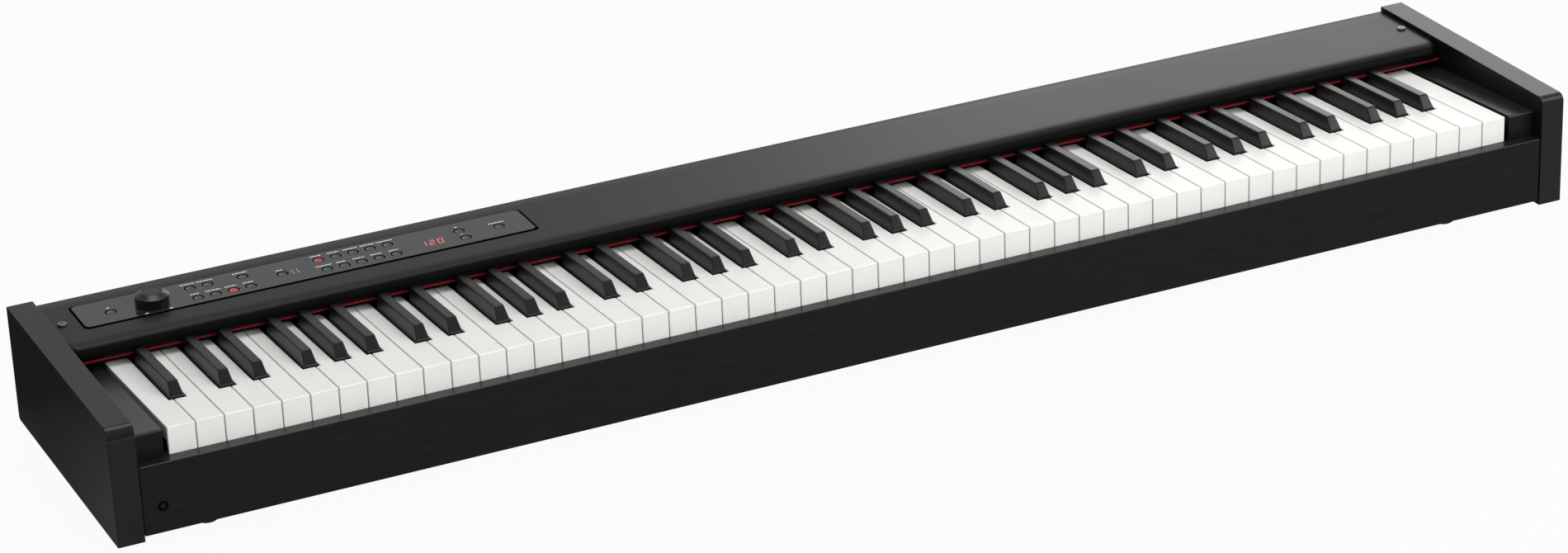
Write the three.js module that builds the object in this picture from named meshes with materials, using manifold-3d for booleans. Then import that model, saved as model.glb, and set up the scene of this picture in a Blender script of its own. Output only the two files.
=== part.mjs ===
// Stage piano with 88 weighted keys.
// Millimetres, +Z up. X runs along the keyboard from the bass end to the treble end,
// the player sits on the -Y side, and Z is zero at the underside of the feet.
import * as THREE from 'three';
import { mergeVertices } from 'three/addons/utils/BufferGeometryUtils.js';
import Module from 'manifold-3d';

const wasm = await Module();
wasm.setup();

// Body
const bodyWidth = 1327;
const endDepth = 260;
const endHeight = 101;
const endThickness = 22.3;
const endNoseRadius = 7;
const endHeelRadius = 4;
const socketProud = 3;
const footDrop = 19.8;
const seatGap = 0.3;
const sideJoint = 0.5;
const cutOverrun = 2;

// Bottom board and feet
const boardRise = 4.1;
const boardThickness = 9;
const footRadius = 10.5;
const footTopRadius = 12;
const footEdge = 1.5;
const footScrewBoreRadius = 2.5;
const footScrewBoreDepth = 8;
const footFromEnd = 88;
const frontFootFromFront = 52.5;
const rearFootFromRear = 46;

// Front rail and the headphone socket in it
const railSetback = 0.8;
const railThickness = 12;
const railAbovePivot = 1.2;
const phonesFromEnd = 39.2;
const phonesHeight = 26.8;
const phonesSleeveRadius = 4.2;
const phonesBoreRadius = 1.8;
const phonesBoreDepth = 15;
const phonesBodyWidth = 12;
const phonesBodyDepth = 14;

// Keys, measured in their own frame, whose origin is the pivot axis
const whiteCount = 52;
const cheekToKeys = 3.66;
const keyGap = 1;
const keyFrontGap = 0.69;
const keyTopAbovePivot = 9.5;
const keyBody = 13;
const keyTiltDeg = 3.77;
const lipDrop = 28;
const lipThickness = 3.5;
const pivotFromRear = 34;
const pivotBelowNose = 22.3;
const pivotRodRadius = 2;
const pivotClearance = 0.3;
const tailBehindPivot = 6;
const joinOverlap = 3.5;
const blackSetback = 54;
const blackEndFromPivot = 68.6;
const blackRise = 12;
const blackFrontLift = 1.5;
const blackBaseWidth = 12.2;
const blackTopWidth = 8;
const blackSlopeRun = 9.5;
const blackNotchWidth = 14.6;
const blackTailWidth = 10;
const combBarFront = 12;
const combBarWidth = 7;
const combBarDrop = 1;
const combBarThickness = 4;
const blackBarStart = 9;
const blackBarWidth = 5;

// Hammers under the middle octave
const hammerPivotShare = 0.574;
const hammerHeightShare = 0.442;
const hammerWidth = 8;
const hammerBeadRadius = 2.5;
const hammerRingRadius = 6;
const hammerRingOpeningDeg = 40;
const hammerPadRise = 4;
const hammerBarThickness = 7;
const hammerPadLength = 12;
const hammerTailGap = 21;
const hammerHeadLength = 40;
const hammerHeadShare = 0.343;
const hammerHeadRise = 2;
const pusherWidth = 5;
const pusherLength = 4;
const pusherGap = 0.5;
const pusherSetback = 3.6;

// Key chassis and contact board
const chassisFront = 24;
const chassisBehindPivot = 14;
const chassisSheet = 2;
const bumperBelowPivot = 6;
const bumperFlange = 10;
const contactBehindPusher = 9;
const contactWidth = 20;
const contactBelowPivot = 6.4;
const circuitThickness = 1.6;
const contactStripWidth = 8;
const contactStripHeight = 4.4;
const postWidth = 10;
const postDepth = 6;
const postPitch = 125;

// Cheek blocks
const cheekWidth = 25;
const cheekOverPhones = 7.2;
const cheekUnderCover = 16;
const cheekEdge = 1.5;

// Top cover with its rounded front
const coverDrop = 3.8;
const coverWall = 3;
const coverAheadOfPivot = 66;
const coverRearSetback = 1.5;
const coverNoseRadius = 9;
const coverNoseHeight = 12.9;
const coverNoseLowRadius = 2;
const coverReturn = 8;

// Felt strip behind the keys
const feltSetback = 1.5;
const feltThickness = 2.5;
const feltHeight = 4.2;

// Rear panel
const rearPanelSetback = 6;
const rearPanelThickness = 3;

// Control panel
const panelLeft = 46;
const panelRight = 438.3;
const panelSetback = 34;
const panelDepth = 46;
const panelCorner = 4.5;
const panelPlate = 2.4;
const panelFlange = 3;
const panelFlangeThickness = 1.6;
const panelJoint = 0.6;

// Volume knob and its potentiometer
const knobFromEnd = 108.3;
const knobFromPanelFront = 19.6;
const knobRadius = 14.2;
const knobSkirtHeight = 8.2;
const knobHeight = 11;
const knobFaceRadius = 8.6;
const knobWall = 2;
const knobDishDepth = 0.6;
const knobShaftRadius = 3;
const knobShaftDrop = 6;
const knobHubRadius = 5;
const shaftHoleRadius = 3.6;

// Buttons
const buttonRadius = 4;
const buttonStand = 1.1;
const buttonHoleRadius = 4.4;
const buttonEdge = 0.6;
const buttonTravelRoom = 1.4;
const buttonStripWidth = 11;
const buttonStripThickness = 1.2;
const frontRowSetback = 11.4;
const middleRowSetback = 20.8;
const rearRowSetback = 32.6;
const powerFromEnd = 73.4;
const functionFromEnd = 144.3;
const functionPitch = 15.1;
const bankFromEnd = 220.1;
const voiceFromEnd = 255.5;
const voicePitch = 15.2;
const valueFromEnd = 378.6;
const valueUpSetback = 28.7;
const valueDownSetback = 13.3;
const tempoFromEnd = 411.5;

// Number window over the digits
const windowLeft = 336.5;
const windowRight = 366;
const windowSetback = 10.5;
const windowDepth = 14;

// Circuit boards
const panelBoardDrop = 6.2;
const panelBoardInset = 5;
const potBodyRadius = 8;
const potBodyHeight = 4;
const digitBlockHeight = 3.4;
const mainBoardLeft = 160;
const mainBoardRight = 430;
const mainBoardRoom = 10;
const mainBoardLift = 3.9;
const mainBoardBelowPivot = 2;
const socketLift = 24.9;
const socketPitch = 34;
const socketFromEnd = 190;
const jackSleeveRadius = 4.9;
const jackBoreRadius = 3.2;
const jackBodySize = 14;
const plugSocketRadius = 8;
const powerSleeveRadius = 4;
const powerBoreRadius = 2.8;
const powerPinRadius = 1;
const socketHoleClearance = 0.4;
const socketRecess = 2;

// Screws that hold the cover down
const screwFromEnd = 31.4;
const screwSetback = 51;
const screwHeadRadius = 4;
const screwHeadHeight = 1.6;
const screwShankRadius = 1.7;
const screwShankLength = 12;
const screwHoleRadius = 2;
const screwRecessRadius = 1.6;
const screwRecessDepth = 0.9;
const screwCrownShare = 0.9;
const screwCrownHeightShare = 0.7;

// Steps around a full circle
const roundSteps = 14;
const smallRoundSteps = 8;
const knobSteps = 28;
const cornerSteps = 4;
const ringSteps = 3;

// Musical layout. C to E is the low group of an octave and F to B the high group. Each group's
// semitones are evenly spaced, and a sharp stands in the middle of its own.
const naturalNames = ['C', 'D', 'E', 'F', 'G', 'A', 'B'];
const octaveCount = naturalNames.length;
const lowGroupCount = 3;
const lowGroupStepCount = 5;
const highGroupStepCount = 7;
const firstNaturalIndex = 5;
const playedOctaveIndex = 4;

// Where the body stands in the frame
const bodyDepth = endDepth + socketProud;
const across = (fromLeft) => fromLeft - bodyWidth / 2;
const back = (fromFront) => fromFront - bodyDepth / 2;
const up = (height) => height + footDrop;
const tilt = THREE.MathUtils.degToRad(keyTiltDeg);

// Heights above the end panels' lower edge: the cover hangs from their top, and the keys from the cover
const boardTop = boardRise + boardThickness;
const coverTop = endHeight - coverDrop;
const coverNoseLow = coverTop - coverNoseHeight;
const pivotHeight = coverNoseLow - pivotBelowNose;
const railTop = pivotHeight + railAbovePivot;
const baseLow = boardTop + seatGap;
const baseTop = baseLow + chassisSheet;
const actionRoom = pivotHeight - baseTop;
const hammerHeight = baseTop + actionRoom * hammerHeightShare;
const hammerHeadHeight = actionRoom * hammerHeadShare;
const bumperHeight = pivotHeight - bumperBelowPivot;
const contactTop = pivotHeight - contactBelowPivot;
const socketHeight = boardTop + socketLift;
const cheekBottom = phonesHeight + phonesBodyWidth / 2 + cheekOverPhones;

// Places across the width
const innerLeft = endThickness + sideJoint;
const innerRight = bodyWidth - innerLeft;
const keysLeft = innerLeft + cheekWidth + cheekToKeys;
const whitePitch = (bodyWidth - 2 * keysLeft) / whiteCount;

// Places from the front, which follow the depth of the end panels
const railRear = railSetback + railThickness;
const pivotFromFront = endDepth - pivotFromRear;
const keyReach = pivotFromFront - railRear - keyFrontGap;
const keyLever = (keyReach + keyTopAbovePivot * Math.sin(tilt)) / Math.cos(tilt);
const blackLength = keyLever - blackSetback - blackEndFromPivot;
const hammerFromFront = pivotFromFront - (pivotFromFront - chassisFront) * hammerPivotShare;
const hammerTailLength = pivotFromFront - hammerFromFront - hammerTailGap;
const pusherReach = keyLever - blackSetback - pusherSetback;
const hammerArm = pusherReach - (pivotFromFront - hammerFromFront);
const contactFront = pivotFromFront - pusherReach + contactBehindPusher;
const chassisRear = pivotFromFront + chassisBehindPivot;
const coverFront = pivotFromFront - coverAheadOfPivot;
const coverRear = endDepth - coverRearSetback;
const cheekRear = coverFront + cheekUnderCover;
const feltFront = coverFront + feltSetback;
const screwFromFront = coverFront + screwSetback;
const panelFront = coverFront + panelSetback;
const panelRear = panelFront + panelDepth;
const knobFromFront = panelFront + knobFromPanelFront;
const frontRow = panelFront + frontRowSetback;
const middleRow = panelFront + middleRowSetback;
const rearRow = panelFront + rearRowSetback;
const windowFront = panelFront + windowSetback;
const windowRear = windowFront + windowDepth;
const rearPanelFront = endDepth - rearPanelSetback;
const rearPanelRear = rearPanelFront + rearPanelThickness;
const mainBoardFront = rearPanelFront - mainBoardRoom;
const mainBoardRear = mainBoardFront + circuitThickness;

// Finishes
const finish = (color, roughness, metalness = 0) => ({ color, roughness, metalness });
const satinBlack = finish(0x232323, 0.5);
const coverBlack = finish(0x343434, 0.42);
const panelGrey = finish(0x4b5050, 0.3);
const ivoryWhite = finish(0xeceae4, 0.28);
const keyBlack = finish(0x252525, 0.45);
const feltRed = finish(0x8c1b24, 0.95);
const bareSteel = finish(0x9b9ea1, 0.35, 0.9);
const zincSheet = finish(0x8d9092, 0.45, 0.8);
const boardGreen = finish(0x1f5b3a, 0.5);
const knobBlack = finish(0x181818, 0.4);
const rubberBlack = finish(0x161616, 0.85);
const capGrey = finish(0x2f3232, 0.4);
const hammerGrey = finish(0x55585c, 0.5, 0.5);

const piano = new THREE.Group();
piano.name = 'stage_piano';

// Solid helpers
function solid(geometry) {
  const bare = geometry.clone();
  bare.deleteAttribute('normal');
  bare.deleteAttribute('uv');
  const merged = mergeVertices(bare);
  return new wasm.Manifold(new wasm.Mesh({
    numProp: 3,
    vertProperties: new Float32Array(merged.attributes.position.array),
    triVerts: new Uint32Array(merged.index.array),
  }));
}

function geometryOf(body) {
  const mesh = body.getMesh();
  const geometry = new THREE.BufferGeometry();
  geometry.setAttribute('position', new THREE.BufferAttribute(new Float32Array(mesh.vertProperties), 3));
  geometry.setIndex(new THREE.BufferAttribute(new Uint32Array(mesh.triVerts), 1));
  return geometry;
}

const join = (first, ...rest) => rest.reduce((sum, next) => sum.add(next), first);
const cut = (first, ...rest) => rest.reduce((sum, next) => sum.subtract(next), first);

function add(name, look, body, parent = piano) {
  const material = new THREE.MeshStandardMaterial(look);
  const mesh = new THREE.Mesh(geometryOf(body), material);
  mesh.name = name;
  parent.add(mesh);
  return mesh;
}

// A box between two corners
function box(x0, x1, y0, y1, z0, z1) {
  const geometry = new THREE.BoxGeometry(x1 - x0, y1 - y0, z1 - z0);
  geometry.translate((x0 + x1) / 2, (y0 + y1) / 2, (z0 + z1) / 2);
  return solid(geometry);
}

// An outline in the YZ plane, pushed along X from x0 to x1
const sideBasis = new THREE.Matrix4().makeBasis(
  new THREE.Vector3(0, 1, 0), new THREE.Vector3(0, 0, 1), new THREE.Vector3(1, 0, 0));
function sideProfile(shape, x0, x1, steps = cornerSteps) {
  const geometry = new THREE.ExtrudeGeometry(shape,
    { depth: x1 - x0, bevelEnabled: false, curveSegments: steps });
  geometry.applyMatrix4(sideBasis);
  geometry.translate(x0, 0, 0);
  return solid(geometry);
}

// An outline in the XZ plane, pushed along Y from y0 to y1
const frontBasis = new THREE.Matrix4().makeBasis(
  new THREE.Vector3(1, 0, 0), new THREE.Vector3(0, 0, 1), new THREE.Vector3(0, -1, 0));
function frontProfile(shape, y0, y1) {
  const geometry = new THREE.ExtrudeGeometry(shape, { depth: y1 - y0, bevelEnabled: false });
  geometry.applyMatrix4(frontBasis);
  geometry.translate(0, y1, 0);
  return solid(geometry);
}

// An outline in the XY plane, pushed up from z0 to z1
function planProfile(shape, z0, z1) {
  const geometry = new THREE.ExtrudeGeometry(shape,
    { depth: z1 - z0, bevelEnabled: false, curveSegments: cornerSteps });
  geometry.translate(0, 0, z0);
  return solid(geometry);
}

function outline(points) {
  return new THREE.Shape(points.map(([a, b]) => new THREE.Vector2(a, b)));
}

function roundedOutline(x0, x1, y0, y1, radius) {
  const shape = new THREE.Shape();
  shape.moveTo(x0 + radius, y0);
  shape.lineTo(x1 - radius, y0);
  shape.absarc(x1 - radius, y0 + radius, radius, -Math.PI / 2, 0, false);
  shape.lineTo(x1, y1 - radius);
  shape.absarc(x1 - radius, y1 - radius, radius, 0, Math.PI / 2, false);
  shape.lineTo(x0 + radius, y1);
  shape.absarc(x0 + radius, y1 - radius, radius, Math.PI / 2, Math.PI, false);
  shape.lineTo(x0, y0 + radius);
  shape.absarc(x0 + radius, y0 + radius, radius, Math.PI, Math.PI * 1.5, false);
  return shape;
}

// A round bar standing along Z
function post(x, y, z0, z1, radius, steps = roundSteps) {
  const geometry = new THREE.CylinderGeometry(radius, radius, z1 - z0, steps);
  geometry.rotateX(Math.PI / 2);
  geometry.translate(x, y, (z0 + z1) / 2);
  return solid(geometry);
}

// A round bar lying along Y
function pin(x, z, y0, y1, radius, steps = roundSteps) {
  const geometry = new THREE.CylinderGeometry(radius, radius, y1 - y0, steps);
  geometry.translate(x, (y0 + y1) / 2, z);
  return solid(geometry);
}

// A round bar lying along X
function rod(y, z, x0, x1, radius, steps = smallRoundSteps) {
  const geometry = new THREE.CylinderGeometry(radius, radius, x1 - x0, steps);
  geometry.rotateZ(Math.PI / 2);
  geometry.translate((x0 + x1) / 2, y, z);
  return solid(geometry);
}

// A closed profile of radius and height, turned about Z
function turned(points, steps = roundSteps) {
  const geometry = new THREE.LatheGeometry(points.map(([r, z]) => new THREE.Vector2(r, z)), steps);
  geometry.rotateX(Math.PI / 2);
  return solid(geometry);
}

// Body panels
function endPanel(name, x0) {
  const y0 = back(0);
  const y1 = back(endDepth);
  const z0 = up(0);
  const z1 = up(endHeight);
  const shape = new THREE.Shape();
  shape.moveTo(y0, z0);
  shape.lineTo(y1 - endHeelRadius, z0);
  shape.absarc(y1 - endHeelRadius, z0 + endHeelRadius, endHeelRadius, -Math.PI / 2, 0, false);
  shape.lineTo(y1, z1);
  shape.lineTo(y0 + endNoseRadius, z1);
  shape.absarc(y0 + endNoseRadius, z1 - endNoseRadius, endNoseRadius, Math.PI / 2, Math.PI, false);
  add(name, satinBlack, sideProfile(shape, x0, x0 + endThickness));
}
endPanel('left_end_panel', across(0));
endPanel('right_end_panel', across(bodyWidth - endThickness));

add('bottom_board', satinBlack, box(
  across(innerLeft), across(innerRight),
  back(railRear + seatGap), back(rearPanelRear),
  up(boardRise), up(boardTop)));

add('front_rail', satinBlack, cut(
  box(across(innerLeft), across(innerRight), back(railSetback), back(railRear), up(boardRise), up(railTop)),
  pin(across(phonesFromEnd), up(phonesHeight), back(railSetback - cutOverrun), back(railRear + cutOverrun),
    phonesSleeveRadius + seatGap)));

// Feet, screwed up into the bottom board
function foot(name, fromLeft, fromFront) {
  const top = footDrop + boardRise - seatGap;
  const body = turned([
    [0, footScrewBoreDepth], [footScrewBoreRadius, footScrewBoreDepth], [footScrewBoreRadius, 0],
    [footRadius - footEdge, 0], [footRadius, footEdge], [footTopRadius, top], [0, top],
  ]);
  const mesh = add(name, rubberBlack, body);
  mesh.position.set(across(fromLeft), back(fromFront), 0);
}
foot('front_left_foot', footFromEnd, frontFootFromFront);
foot('front_right_foot', bodyWidth - footFromEnd, frontFootFromFront);
foot('rear_left_foot', footFromEnd, endDepth - rearFootFromRear);
foot('rear_right_foot', bodyWidth - footFromEnd, endDepth - rearFootFromRear);

// Headphone socket behind the rail
const phonesRear = railRear + seatGap + phonesBodyDepth;
add('headphone_socket', rubberBlack, cut(
  join(
    pin(across(phonesFromEnd), up(phonesHeight), back(railSetback), back(phonesRear), phonesSleeveRadius),
    box(across(phonesFromEnd) - phonesBodyWidth / 2, across(phonesFromEnd) + phonesBodyWidth / 2,
      back(railRear + seatGap), back(phonesRear),
      up(boardTop + seatGap), up(phonesHeight + phonesBodyWidth / 2))),
  pin(across(phonesFromEnd), up(phonesHeight), back(railSetback - cutOverrun),
    back(railSetback + phonesBoreDepth), phonesBoreRadius, smallRoundSteps)));

// Height of the resting white keys' tops, which slope down to the rear by the tilt
const keyTopAt = (fromFront) => pivotHeight + (pivotFromFront - fromFront) * Math.tan(tilt)
  + keyTopAbovePivot / Math.cos(tilt);

// Cheek blocks at both ends of the keys, level with the key tops
function cheekBlock(name, x0) {
  const front = railRear + seatGap;
  const block = sideProfile(outline([
    [back(front), up(cheekBottom)],
    [back(cheekRear), up(cheekBottom)],
    [back(cheekRear), up(keyTopAt(cheekRear))],
    [back(front + cheekEdge), up(keyTopAt(front + cheekEdge))],
    [back(front), up(keyTopAt(front) - cheekEdge)],
  ]), x0, x0 + cheekWidth);
  add(name, satinBlack, block);
}
cheekBlock('left_cheek_block', across(innerLeft));
cheekBlock('right_cheek_block', across(innerRight - cheekWidth));

// Natural and sharp places. Natural n counts from the lowest A, octave names change at C.
const lowPitch = lowGroupCount * whitePitch / lowGroupStepCount;
const highPitch = (octaveCount - lowGroupCount) * whitePitch / highGroupStepCount;

function naturals() {
  const list = [];
  for (let n = 0; n < whiteCount; n += 1) {
    const place = n + firstNaturalIndex;
    const letter = naturalNames[place % octaveCount];
    const octave = Math.floor(place / octaveCount);
    list.push({ n, letter, octave, left: keysLeft + n * whitePitch });
  }
  return list;
}

// The sharp above natural k of a group fills semitone 2k + 1, so its middle is 2k + 1.5 semitones in.
// The last natural of a group has none, and neither has the highest C.
function sharps() {
  const list = [];
  for (const { n, letter, octave } of naturals()) {
    const index = naturalNames.indexOf(letter);
    const inLow = index < lowGroupCount;
    const k = inLow ? index : index - lowGroupCount;
    const last = inLow ? lowGroupCount - 1 : octaveCount - lowGroupCount - 1;
    if (k === last || n === whiteCount - 1) continue;
    const groupLeft = keysLeft + (n - k) * whitePitch;
    list.push({ letter, octave, middle: groupLeft + (2 * k + 1.5) * (inLow ? lowPitch : highPitch) });
  }
  return list;
}

// Where a natural's narrow tail starts and ends, between its sharps
function tailSpan({ n, left }) {
  const right = left + whitePitch;
  let x0 = left + keyGap / 2;
  let x1 = right - keyGap / 2;
  for (const { middle } of sharps()) {
    const s0 = middle - blackNotchWidth / 2;
    const s1 = middle + blackNotchWidth / 2;
    if (s0 < left && s1 > left) x0 = s1;
    if (s0 < right && s1 > right) x1 = s0;
  }
  return [x0, x1];
}

const keyTop = keyTopAbovePivot;
const keyBottom = keyTop - keyBody;
const slotHalf = pivotRodRadius + pivotClearance;

// The tail outline, with the slot that hooks over the pivot rod
const tailOutline = (front, rear, top) => outline([
  [front, keyBottom], [-slotHalf, keyBottom], [-slotHalf, slotHalf], [slotHalf, slotHalf],
  [slotHalf, keyBottom], [rear, keyBottom], [rear, top], [front, top],
]);

function naturalBody(natural) {
  const [t0, t1] = tailSpan(natural);
  const x0 = across(natural.left + keyGap / 2);
  const x1 = across(natural.left + whitePitch - keyGap / 2);
  const front = -keyLever;
  const lean = lipDrop * Math.tan(tilt);
  const headEnd = front + blackSetback - (blackNotchWidth - blackBaseWidth) / 2;
  const head = sideProfile(outline([
    [front + lean, keyTop - lipDrop],
    [front + lean + lipThickness, keyTop - lipDrop],
    [front + lean + lipThickness, keyBottom],
    [headEnd, keyBottom],
    [headEnd, keyTop],
    [front, keyTop],
  ]), x0, x1);
  const tail = sideProfile(tailOutline(headEnd - joinOverlap, tailBehindPivot, keyTop),
    across(t0), across(t1));
  return join(head, tail);
}

function sharpBody({ middle }) {
  const x = across(middle);
  const front = -keyLever + blackSetback;
  const rear = front + blackLength;
  const top = keyTop + blackRise;
  const shell = sideProfile(outline([
    [front, keyBottom], [rear, keyBottom], [rear, top], [front + blackSlopeRun, top],
    [front, keyTop + blackFrontLift],
  ]), x - blackBaseWidth / 2, x + blackBaseWidth / 2);
  const taper = frontProfile(outline([
    [x - blackBaseWidth / 2, keyBottom], [x + blackBaseWidth / 2, keyBottom],
    [x + blackBaseWidth / 2, keyTop], [x + blackTopWidth / 2, top],
    [x - blackTopWidth / 2, top], [x - blackBaseWidth / 2, keyTop],
  ]), front - cutOverrun, rear + cutOverrun);
  const tail = sideProfile(tailOutline(rear - joinOverlap, tailBehindPivot, keyTop),
    x - blackTailWidth / 2, x + blackTailWidth / 2);
  return join(shell.intersect(taper), tail);
}

// The leg under a played key that pushes its hammer down
const padTop = hammerHeight + hammerPadRise;
function pusher(x) {
  const tipHeight = padTop + pusherGap - pivotHeight;
  const low = (tipHeight - pusherReach * Math.sin(tilt)) / Math.cos(tilt);
  return box(x - pusherWidth / 2, x + pusherWidth / 2,
    -pusherReach - pusherLength / 2, -pusherReach + pusherLength / 2, low, keyBottom + joinOverlap);
}

// Keys hang in one group, turned to the rest tilt about the pivot rod
const keyboard = new THREE.Group();
keyboard.position.set(0, back(pivotFromFront), up(pivotHeight));
keyboard.rotation.x = -tilt;
piano.add(keyboard);

const whiteKeys = naturals();
const blackKeys = sharps();

// The played octave: each key is a piece of its own
const playedTails = [];
for (const natural of whiteKeys.filter((key) => key.octave === playedOctaveIndex)) {
  const [t0, t1] = tailSpan(natural);
  const middle = across((t0 + t1) / 2);
  add(`key_${natural.letter}${natural.octave}`, ivoryWhite,
    join(naturalBody(natural), pusher(middle)), keyboard);
  playedTails.push({ name: `hammer_${natural.letter}${natural.octave}`, middle });
}
for (const sharp of blackKeys.filter((key) => key.octave === playedOctaveIndex)) {
  const middle = across(sharp.middle);
  add(`key_${sharp.letter}_sharp${sharp.octave}`, keyBlack,
    join(sharpBody(sharp), pusher(middle)), keyboard);
  playedTails.push({ name: `hammer_${sharp.letter}_sharp${sharp.octave}`, middle });
}

// The other octaves: the naturals of a range share one moulded bar, and so do its sharps
const ranges = [
  { name: 'A0_to_B1', low: 0, high: 1 },
  { name: 'C2_to_B3', low: 2, high: 3 },
  { name: 'C5_to_B6', low: 5, high: 6 },
  { name: 'C7_to_C8', low: 7, high: 8 },
];
for (const { name, low, high } of ranges) {
  const inRange = (key) => key.octave >= low && key.octave <= high;
  const whites = whiteKeys.filter(inRange);
  const firstTail = tailSpan(whites[0])[0];
  const lastTail = tailSpan(whites[whites.length - 1])[1];
  const barTop = keyBottom - combBarDrop;
  const whiteBar = box(across(firstTail), across(lastTail),
    -combBarFront, -combBarFront + combBarWidth, barTop - combBarThickness, barTop);
  const necks = whites.map((key) => {
    const [t0, t1] = tailSpan(key);
    return box(across(t0), across(t1), -combBarFront, -combBarFront + combBarWidth,
      barTop - combBarThickness / 2, keyBottom + joinOverlap);
  });
  add(`white_keys_${name}`, ivoryWhite, join(whiteBar, ...necks, ...whites.map(naturalBody)), keyboard);

  const blacks = blackKeys.filter(inRange);
  const blackBar = box(
    across(blacks[0].middle) - blackTailWidth / 2,
    across(blacks[blacks.length - 1].middle) + blackTailWidth / 2,
    blackBarStart, blackBarStart + blackBarWidth, keyBottom, keyTop - combBarThickness);
  const stems = blacks.map(({ middle }) => box(
    across(middle) - blackTailWidth / 2, across(middle) + blackTailWidth / 2,
    tailBehindPivot - joinOverlap, blackBarStart + blackBarWidth / 2, keyBottom, keyTop - combBarThickness));
  add(`black_keys_${name}`, keyBlack, join(blackBar, ...stems, ...blacks.map(sharpBody)), keyboard);
}

// Hammers: a weighted lever that clips over the bead on the chassis
function hammer({ name, middle }) {
  const x0 = middle - hammerWidth / 2;
  const x1 = middle + hammerWidth / 2;
  const inner = hammerBeadRadius + pivotClearance;
  const opening = THREE.MathUtils.degToRad(hammerRingOpeningDeg);
  const start = -Math.PI / 2 + opening;
  const end = Math.PI * 1.5 - opening;
  const ring = new THREE.Shape();
  ring.absarc(0, 0, hammerRingRadius, start, end, false);
  ring.absarc(0, 0, inner, end, start, true);
  const armLow = hammerPadRise - hammerBarThickness;
  const fore = box(x0, x1, -hammerArm - hammerPadLength / 2, -inner - pivotClearance, armLow, hammerPadRise);
  const aft = box(x0, x1, inner + pivotClearance, hammerTailLength - hammerHeadLength / 2,
    armLow, hammerHeadRise);
  const head = box(x0, x1, hammerTailLength - hammerHeadLength, hammerTailLength,
    hammerHeadRise - hammerHeadHeight, hammerHeadRise);
  const mesh = add(name, hammerGrey, join(sideProfile(ring, x0, x1, ringSteps), fore, aft, head));
  mesh.position.set(0, back(hammerFromFront), up(hammerHeight));
}
playedTails.forEach(hammer);

// Key chassis: a base sheet with a front bumper, a hammer bead, a contact beam and a pivot edge
const chassisLeft = across(keysLeft);
const chassisRight = across(bodyWidth - keysLeft);
const chassisBox = (d0, d1, h0, h1) => box(chassisLeft, chassisRight, back(d0), back(d1), up(h0), up(h1));
const beamTop = contactTop - circuitThickness - seatGap;
function contactPosts() {
  const list = [];
  const playedNaturals = whiteKeys.filter((key) => key.octave === playedOctaveIndex);
  const clearLeft = playedNaturals[0].left;
  const clearRight = clearLeft + octaveCount * whitePitch;
  for (let x = keysLeft; x < bodyWidth - keysLeft - postWidth; x += postPitch) {
    if (x + postWidth > clearLeft && x < clearRight) continue;
    const y = contactFront + (contactWidth - postDepth) / 2;
    list.push(box(across(x), across(x + postWidth), back(y), back(y + postDepth),
      up(baseTop - chassisSheet / 2), up(beamTop - chassisSheet / 2)));
  }
  return list;
}
add('key_chassis', zincSheet, join(
  chassisBox(chassisFront, chassisRear, baseLow, baseTop),
  chassisBox(chassisFront, chassisFront + chassisSheet, baseLow, bumperHeight),
  chassisBox(chassisFront, chassisFront + bumperFlange, bumperHeight - chassisSheet, bumperHeight),
  chassisBox(hammerFromFront - chassisSheet / 2, hammerFromFront + chassisSheet / 2, baseLow, hammerHeight),
  rod(back(hammerFromFront), up(hammerHeight), chassisLeft, chassisRight, hammerBeadRadius),
  chassisBox(contactFront, contactFront + contactWidth, beamTop - chassisSheet, beamTop),
  chassisBox(pivotFromFront - chassisSheet / 2, pivotFromFront + chassisSheet / 2, baseLow,
    pivotHeight - pivotRodRadius - seatGap),
  ...contactPosts()));

add('key_pivot_rod', bareSteel, rod(back(pivotFromFront), up(pivotHeight), chassisLeft, chassisRight,
  pivotRodRadius));

const stripFront = contactFront + (contactWidth - contactStripWidth) / 2;
add('key_contact_board', boardGreen, join(
  chassisBox(contactFront, contactFront + contactWidth, contactTop - circuitThickness, contactTop),
  chassisBox(stripFront, stripFront + contactStripWidth, contactTop - circuitThickness / 2,
    contactTop + contactStripHeight)));

// Top cover: a flat sheet whose front rolls over into a rounded nose
function coverShape() {
  const y0 = back(coverFront);
  const y1 = back(coverRear);
  const top = up(coverTop);
  const low = up(coverNoseLow);
  const shape = new THREE.Shape();
  shape.moveTo(y1, top - coverWall);
  shape.lineTo(y1, top);
  shape.lineTo(y0 + coverNoseRadius, top);
  shape.absarc(y0 + coverNoseRadius, top - coverNoseRadius, coverNoseRadius, Math.PI / 2, Math.PI, false);
  shape.lineTo(y0, low + coverNoseLowRadius);
  shape.absarc(y0 + coverNoseLowRadius, low + coverNoseLowRadius, coverNoseLowRadius,
    Math.PI, Math.PI * 1.5, false);
  shape.lineTo(y0 + coverReturn, low);
  shape.lineTo(y0 + coverReturn, low + coverWall);
  shape.lineTo(y0 + coverWall, low + coverWall);
  shape.lineTo(y0 + coverWall, top - coverNoseRadius);
  shape.absarc(y0 + coverNoseRadius, top - coverNoseRadius, coverNoseRadius - coverWall,
    Math.PI, Math.PI / 2, true);
  return shape;
}
const panelPocket = planProfile(roundedOutline(
  across(panelLeft - panelJoint), across(panelRight + panelJoint),
  back(panelFront - panelJoint), back(panelRear + panelJoint), panelCorner + panelJoint),
up(coverTop - coverWall - cutOverrun), up(coverTop + cutOverrun));
const screwPlaces = [screwFromEnd, bodyWidth - screwFromEnd];
const screwHoles = screwPlaces.map((fromLeft) => post(across(fromLeft), back(screwFromFront),
  up(coverTop - coverWall - cutOverrun), up(coverTop + cutOverrun), screwHoleRadius, smallRoundSteps));
add('top_cover', coverBlack, cut(
  sideProfile(coverShape(), across(innerLeft), across(innerRight)), panelPocket, ...screwHoles));

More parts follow.
